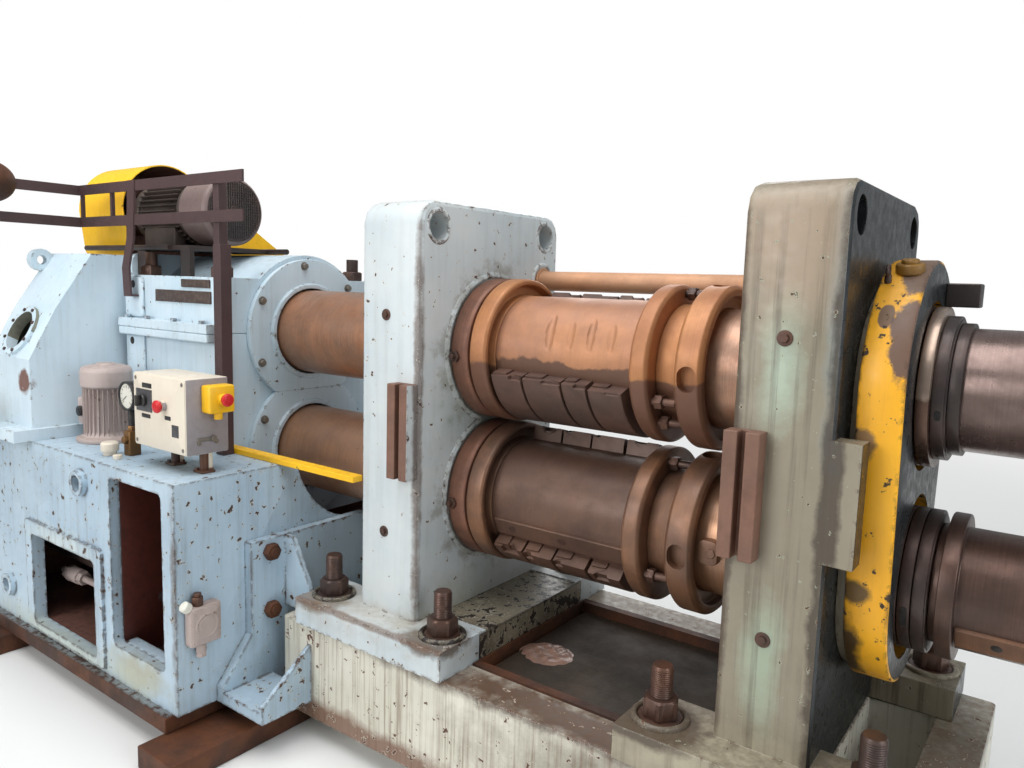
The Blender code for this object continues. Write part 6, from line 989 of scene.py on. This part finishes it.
# pump motor: flange, finned barrel, slotted cowl and cap
pumpX, pumpY, deck = -0.690, -0.460, 0.7103
pump = [
    turn(eased([(deck, 0), (deck, 0.088), (deck + 0.012, 0.088), (deck + 0.016, 0.070), (deck + 0.030, 0.062), (deck + 0.16, 0.056), (deck + 0.166, 0.066), (deck + 0.170, 0.073), (deck + 0.214, 0.073), (deck + 0.226, 0.068), (deck + 0.232, 0.050), (deck + 0.232, 0.030), (deck + 0.238, 0.026), (deck + 0.2395, 0)], 0.003), (pumpX, pumpY, 0), (0, 0, 1), 96),
    block((pumpX - 0.105, pumpY - 0.042, deck + 0.042), (pumpX - 0.03, pumpY + 0.042, deck + 0.127), 0.010, 0.006),
]
for i in range(30):
    angle = math.radians(i * 12)
    out = np.array((math.cos(angle), math.sin(angle), 0))
    side = np.array((-math.sin(angle), math.cos(angle), 0)) * 0.0012
    ring = [(0.052, 1.2), (0.066, 1), (0.068, 0.5), (0.068, -0.5), (0.066, -1), (0.052, -1.2)]
    rows = []
    for z, scale in ((deck + 0.020, 0), (deck + 0.020, 1), (deck + 0.164, 1), (deck + 0.164, 0)):
        rows.append([np.array((pumpX, pumpY, z)) + out * ((r - 0.06) * scale + 0.06) + side * t * scale for r, t in ring])
    pump.append(grid(np.array(rows), False, True))
build("pump_motor_cast", pump, "machine", paleGrey, ("pump_motor",))

# gauge with dial and pointer, valve block below
gaugeX, gaugeY, gaugeZ = -0.432, -0.520, 0.880
gauge = [
    turn(eased([(-0.016, 0), (-0.016, 0.039), (-0.012, 0.042), (0.014, 0.042), (0.0165, 0.0415), (0.0165, 0.036), (0.012, 0.035), (0.012, 0)], 0.0012), (gaugeX, gaugeY, gaugeZ), (0, -1, 0), 64),
    rod((gaugeX, gaugeY, 0.775), (gaugeX, gaugeY, gaugeZ - 0.03), 0.009),
]
build("gauge_case", gauge, "machine", blackPlastic, ("pressure_gauge",))
build("gauge_dial", [rod((gaugeX, gaugeY - 0.011, gaugeZ), (gaugeX, gaugeY - 0.0126, gaugeZ), 0.035, 64, 0.0002)], "machine", dialWhite)
marks = []
for i in range(11):
    a = math.radians(225 - 27 * i)
    inner, outer = (0.025, 0.031) if i % 5 else (0.022, 0.031)
    start = (gaugeX + inner * math.cos(a), gaugeY - 0.0129, gaugeZ + inner * math.sin(a))
    end = (gaugeX + outer * math.cos(a), gaugeY - 0.0129, gaugeZ + outer * math.sin(a))
    marks.append(tube([start, np.add(start, end) / 2, end], 0.0006, 5))
needle = math.radians(215)
marks.append(tube([(gaugeX, gaugeY - 0.014, gaugeZ), (gaugeX + 0.013 * math.cos(needle), gaugeY - 0.014, gaugeZ + 0.013 * math.sin(needle)), (gaugeX + 0.027 * math.cos(needle), gaugeY - 0.014, gaugeZ + 0.027 * math.sin(needle))], 0.0008, 6))
build("gauge_marks", marks, "machine", blackPlastic)
valve = [block((gaugeX - 0.017, gaugeY - 0.017, deck), (gaugeX + 0.017, gaugeY + 0.017, deck + 0.070), 0.004, 0.002), hexagon((gaugeX, gaugeY - 0.015, deck + 0.045), (0, -1, 0), 0.020, 0.012), hexagon((gaugeX, gaugeY, deck + 0.068), (0, 0, 1), 0.022, 0.016)]
build("gauge_valve", valve, "machine", brassSteel)
low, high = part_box("filler_cap")
capX, capY = (low.x + high.x) / 2, (low.y + high.y) / 2
knurl = turn(eased([(deck, 0), (deck, 0.018), (deck + 0.012, 0.018), (deck + 0.012, 0.024), (deck + 0.034, 0.024), (deck + 0.038, 0.020), (deck + 0.038, 0)], 0.002), (capX, capY, 0), (0, 0, 1), 48)
build("filler_cap_turned", [knurl, rod((-0.409, -0.575, deck), (-0.409, -0.575, deck + 0.012), 0.0125, 24, 0.002)], "machine", cream, ("filler_cap",))
print("pump and gauge finished")

# control box: body, cover screws, bare plates, latches
boxX, boxY, boxZ = -0.340, -0.560, 0.762
low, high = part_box("control_box")
control = dress("control_box", "machine", cream, 0.0012)
# the right-facing side takes the greyer copy: painted shade
second(control, shadedSideCream, lambda x, y, z, nx, ny, nz: (nx > 0.7) & (z > boxZ))
legs = []
for x, y in ((-0.245, -0.499), (-0.110, -0.499)):
    legs += [rod((x, y, 0.716), (x, y, boxZ - 0.0005), 0.0118, 24, 0.001), block((x - 0.022, y - 0.020, 0.7106), (x + 0.022, y + 0.020, 0.7165), 0.004, 0.001)]
    legs += [hexagon((x - 0.014, y - 0.012, 0.716), (0, 0, 1), 0.010, 0.006), hexagon((x + 0.014, y + 0.012, 0.716), (0, 0, 1), 0.010, 0.006)]
build("control_legs", legs, "machine", boltSteel)
latch = [block((boxX + 0.2498, boxY + 0.028, boxZ + 0.034), (boxX + 0.2530, boxY + 0.068, boxZ + 0.044), 0.003, 0.001), rod((boxX + 0.2500, boxY + 0.074, boxZ + 0.040), (boxX + 0.2585, boxY + 0.074, boxZ + 0.040), 0.008, 24, 0.001)]
build("control_latch", latch, "machine", zinc)
tags = ((-0.294, 0.922, -0.247, 0.935), (-0.299, 0.841, -0.256, 0.852), (-0.186, 0.847, -0.158, 0.858))
plates = [push(rectangle((a, b), (c, d), 0.002), boxY + 0.0002, boxY - 0.0024, "XZ", 0.0004) for a, b, c, d in tags]
greys = [push(rectangle((a, b), (c, d), 0.002), boxY + 0.0002, boxY - depth, "XZ", 0.0004) for a, b, c, d, depth in ((-0.324, 0.858, -0.246, 0.918, 0.0030), (-0.154, 0.806, -0.122, 0.838, 0.0024))]
build("control_switch_plates", greys, "machine", switchGrey)
build("control_plates", plates, "machine", blackPlastic)
screws = []
for dx in (0.014, 0.236):
    for dz in (0.014, 0.184):
        screws.append(rod((boxX + dx, boxY + 0.0005, boxZ + dz), (boxX + dx, boxY - 0.0025, boxZ + dz), 0.0055, 20, 0.001))
for dy, dz in ((0.035, 0.030), (0.085, 0.030), (0.060, 0.160)):
    screws.append(rod((boxX + 0.2495, boxY + dy, boxZ + dz), (boxX + 0.2535, boxY + dy, boxZ + dz), 0.006, 20, 0.001))
build("control_screws", screws, "machine", zinc)
rim = push(rectangle((boxX + 0.003, boxZ + 0.003), (boxX + 0.247, boxZ + 0.195), 0.006), boxY + 0.0002, boxY - 0.0016, "XZ", 0.0008)
build("control_lid", [rim], "machine", cream)
low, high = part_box("selector_knob")
middle = ((low.x + high.x) / 2, -0.5603, (low.z + high.z) / 2)
knob = [turn(eased([(0, 0), (0, 0.017), (0.010, 0.017), (0.012, 0.014), (0.012, 0)], 0.001), middle, (0, -1, 0), 48)]
grip = push(rectangle((middle[0] - 0.004, middle[2] - 0.0150), (middle[0] + 0.004, middle[2] + 0.0150), 0.0035), -0.570, -0.5862, "XZ", 0.0015)
build("selector_moulded", [*knob, grip], "selector", blackPlastic, ("selector_knob",))


# mushroom head: a domed cap on a stem
def mushroom(name, node, body, face, direction):
    path = [(-0.003, 0), (-0.003, 0.009), (0.0166, 0.009), (0.0166, 0.0155), (0.019, 0.017), (0.024, 0.0165), (0.027, 0.013), (0.0284, 0.006), (0.0286, 0)]
    build(name, [turn(eased(path, 0.0012), face, direction, 48)], body, redPlastic, (node,))


mushroom("stop_mushroom", "stop_button", "stop", (-0.190, -0.560, 0.88278), (0, -1, 0))
low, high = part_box("estop_box")
mushroom("estop_mushroom", "estop_button", "estop", (-0.0477, -0.482, 0.908), (1, 0, 0))
dress("estop_box", "machine", yellowPlastic, 0.0008)
print("controls finished")

# work lamp: spun reflector housing
low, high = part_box("work_lamp")
lampX, lampZ = (low.x + high.x) / 2, (low.z + high.z) / 2
h = np.linspace(0, 1, 13)
dome = np.stack([low.y + 0.010 + (high.y - low.y - 0.010) * h, 0.066 * np.sqrt(np.clip(1 - (h * 0.93) ** 2, 0, 1))], -1)
lampPath = np.concatenate([[(low.y, 0), (low.y, 0.062), (low.y + 0.004, 0.066)], dome, [(high.y, 0)]])
build("work_lamp_spun", [turn(lampPath, (lampX, 0, lampZ), (0, 1, 0), 64)], "machine", rustSteel, ("work_lamp",))

# oil line in the window: pipe, union and a valve wheel
low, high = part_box("oil_line")
pipePath = [(low.x, 0), (low.x, 0.017), (-0.685, 0.017), (-0.670, 0.030), (-0.640, 0.034), (-0.600, 0.034), (-0.570, 0.030), (-0.553, 0.017), (high.x, 0.017), (high.x, 0)]
line = [turn(eased(pipePath, 0.002), (0, -0.480, 0.300), steps=40), hexagon((-0.655, -0.480, 0.300), (1, 0, 0), 0.062, 0.040)]
build("oil_line_drawn", line, "machine", oilSteel, ("oil_line",))
branch = [rod((-0.900, -0.515, 0.256), (-0.430, -0.515, 0.262), 0.010), rod((-0.430, -0.515, 0.262), (-0.430, -0.488, 0.290), 0.010)]
branch += [hexagon((-0.862, -0.515, 0.256), (1, 0, 0), 0.044, 0.026), rod((-0.836, -0.515, 0.257), (-0.778, -0.515, 0.258), 0.024, 32, 0.004)]
branch += [hexagon((-0.778, -0.515, 0.258), (1, 0, 0), 0.038, 0.022)]
build("oil_branch", branch, "machine", paleGrey)

# junction box: lid with an embossed disc, screws, plug on top, gland below
lid = [push(rectangle((-0.6050, 0.2945), (-0.5270, 0.3895), 0.004), -0.0065, -0.0032, "YZ", 0.001)]
lid.append(turn(eased([(0, 0), (0.0022, 0), (0.0022, 0.021), (0.0010, 0.023), (0.0010, 0.026), (0.0028, 0.028), (0.0028, 0.031), (0, 0.033)], 0.0008), (-0.0034, -0.566, 0.342), steps=64))
for y in (-0.598, -0.534):
    for z in (0.302, 0.382):
        lid.append(rod((-0.0034, y, z), (-0.0012, y, z), 0.0042, 20, 0.0006))
lid.append(rod((-0.023, -0.572, 0.2895), (-0.023, -0.572, 0.268), 0.013, 32, 0.002))
lid.append(hexagon((-0.023, -0.572, 0.268), (0, 0, -1), 0.024, 0.012))
build("junction_lid", lid, "machine", paleGrey)
build("junction_plug", [hexagon((-0.023, -0.580, 0.3945), (0, 0, 1), 0.027, 0.022), rod((-0.023, -0.580, 0.416), (-0.023, -0.580, 0.426), 0.010)], "machine", boltSteel)
build("junction_blank", [rod((-0.023, -0.604, 0.390), (-0.023, -0.620, 0.404), 0.014, 32, 0.005)], "machine", dialWhite)

# bolts round the gear housing's port: centre and slope from the two ends of the sloped face
knee, shoulder = np.array((-0.620, 0.955)), np.array((-0.538, 1.110))
slope = (shoulder - knee) / np.linalg.norm(shoulder - knee)
out = np.array((0, -slope[1], slope[0]))
middle = np.array((-0.970, *((knee + shoulder) / 2)))
portBolts = []
for i in range(8):
    a = math.radians(22.5 + 45 * i)
    foot = middle + out * 0.0098 + 0.0735 * (math.cos(a) * np.array((1, 0, 0)) + math.sin(a) * np.array((0, *slope)))
    portBolts.append(hexagon(foot, out, 0.010, 0.005))
build("port_bolts", portBolts, "machine", boltSteel)

# pump: dark gland on the terminal box
build("pump_gland", [rod((-0.768, -0.501, 0.795), (-0.768, -0.512, 0.795), 0.016, 32, 0.002), rod((-0.768, -0.511, 0.795), (-0.768, -0.514, 0.795), 0.009, 24, 0.001)], "machine", blackPlastic)

# bolts of the link bracket
smallBolts = []
for y, z in ((-0.371, 0.485), (-0.370, 0.322), (0.371, 0.485), (0.370, 0.322)):
    smallBolts.append(hexagon((-0.0098, y, z), (1, 0, 0), 0.042, 0.022))
    smallBolts.append(rod((0.008, y, z), (0.016, y, z), 0.013, 24))
build("bracket_bolts", smallBolts, "machine", rustSteel)
print("details finished")

# lamps: one wide overhead, one from the front left, one from the right
lights = {
    "overhead": ((0.2, -1.0, 4.2), 132, 3.2),
    "frontLeft": ((-1.0, -4.6, 2.4), 112, 2.4),
    "right": ((4.6, -0.6, 2.2), 68, 2.4),
    "rear": ((-1.5, 4.2, 3.0), 60, 2.4),
}
for name, (place, power, size) in lights.items():
    lamp = bpy.data.lights.new(name, "AREA")
    lamp.energy = power
    lamp.color = (0.90, 0.96, 1.0) if name == "right" else (1.0, 1.0, 1.0)  # daylight from the open side
    lamp.size = size
    holder = bpy.data.objects.new(name, lamp)
    holder.location = place
    holder.rotation_euler = (Vector((0.2, 0, 0.8)) - Vector(place)).to_track_quat("-Z", "Y").to_euler()
    bpy.context.scene.collection.objects.link(holder)
world = bpy.data.worlds.new("soft studio")
world.use_nodes = True
bpy.context.scene.world = world
tree = world.node_tree
base = tree.nodes["Background"]
base.inputs["Color"].default_value = tint("#e9edf0")
base.inputs["Strength"].default_value = 0.42
seen = add(tree, "Background", {"Color": (1, 1, 1, 1), "Strength": 1.0})
rays = add(tree, "LightPath")
tree.links.new(add(tree, "MixShader", {0: rays, 1: base.outputs[0], 2: seen}), tree.nodes["World Output"].inputs["Surface"])

# camera at the photograph's place: 36.4 degrees round, 7.2 degrees down, leaning 1.7 degrees
yaw, pitch, roll = math.radians(36.392), math.radians(7.177), math.radians(1.698)
ahead = Vector((-math.sin(yaw) * math.cos(pitch), math.cos(yaw) * math.cos(pitch), -math.sin(pitch)))
right = ahead.cross(Vector((0, 0, 1))).normalized()
up = right.cross(ahead)
leanRight = right * math.cos(roll) + up * math.sin(roll)
leanUp = up * math.cos(roll) - right * math.sin(roll)
lens = bpy.data.cameras.new("camera")
lens.sensor_width = 36
lens.lens = 36 * 791.1 / 1024
camera = bpy.data.objects.new("camera", lens)
camera.matrix_world = Matrix((leanRight, leanUp, -ahead)).transposed().to_4x4()
camera.location = (1.7406, -1.6590, 1.2229)
bpy.context.scene.collection.objects.link(camera)
bpy.context.scene.camera = camera
bpy.context.scene.view_settings.view_transform = "Standard"
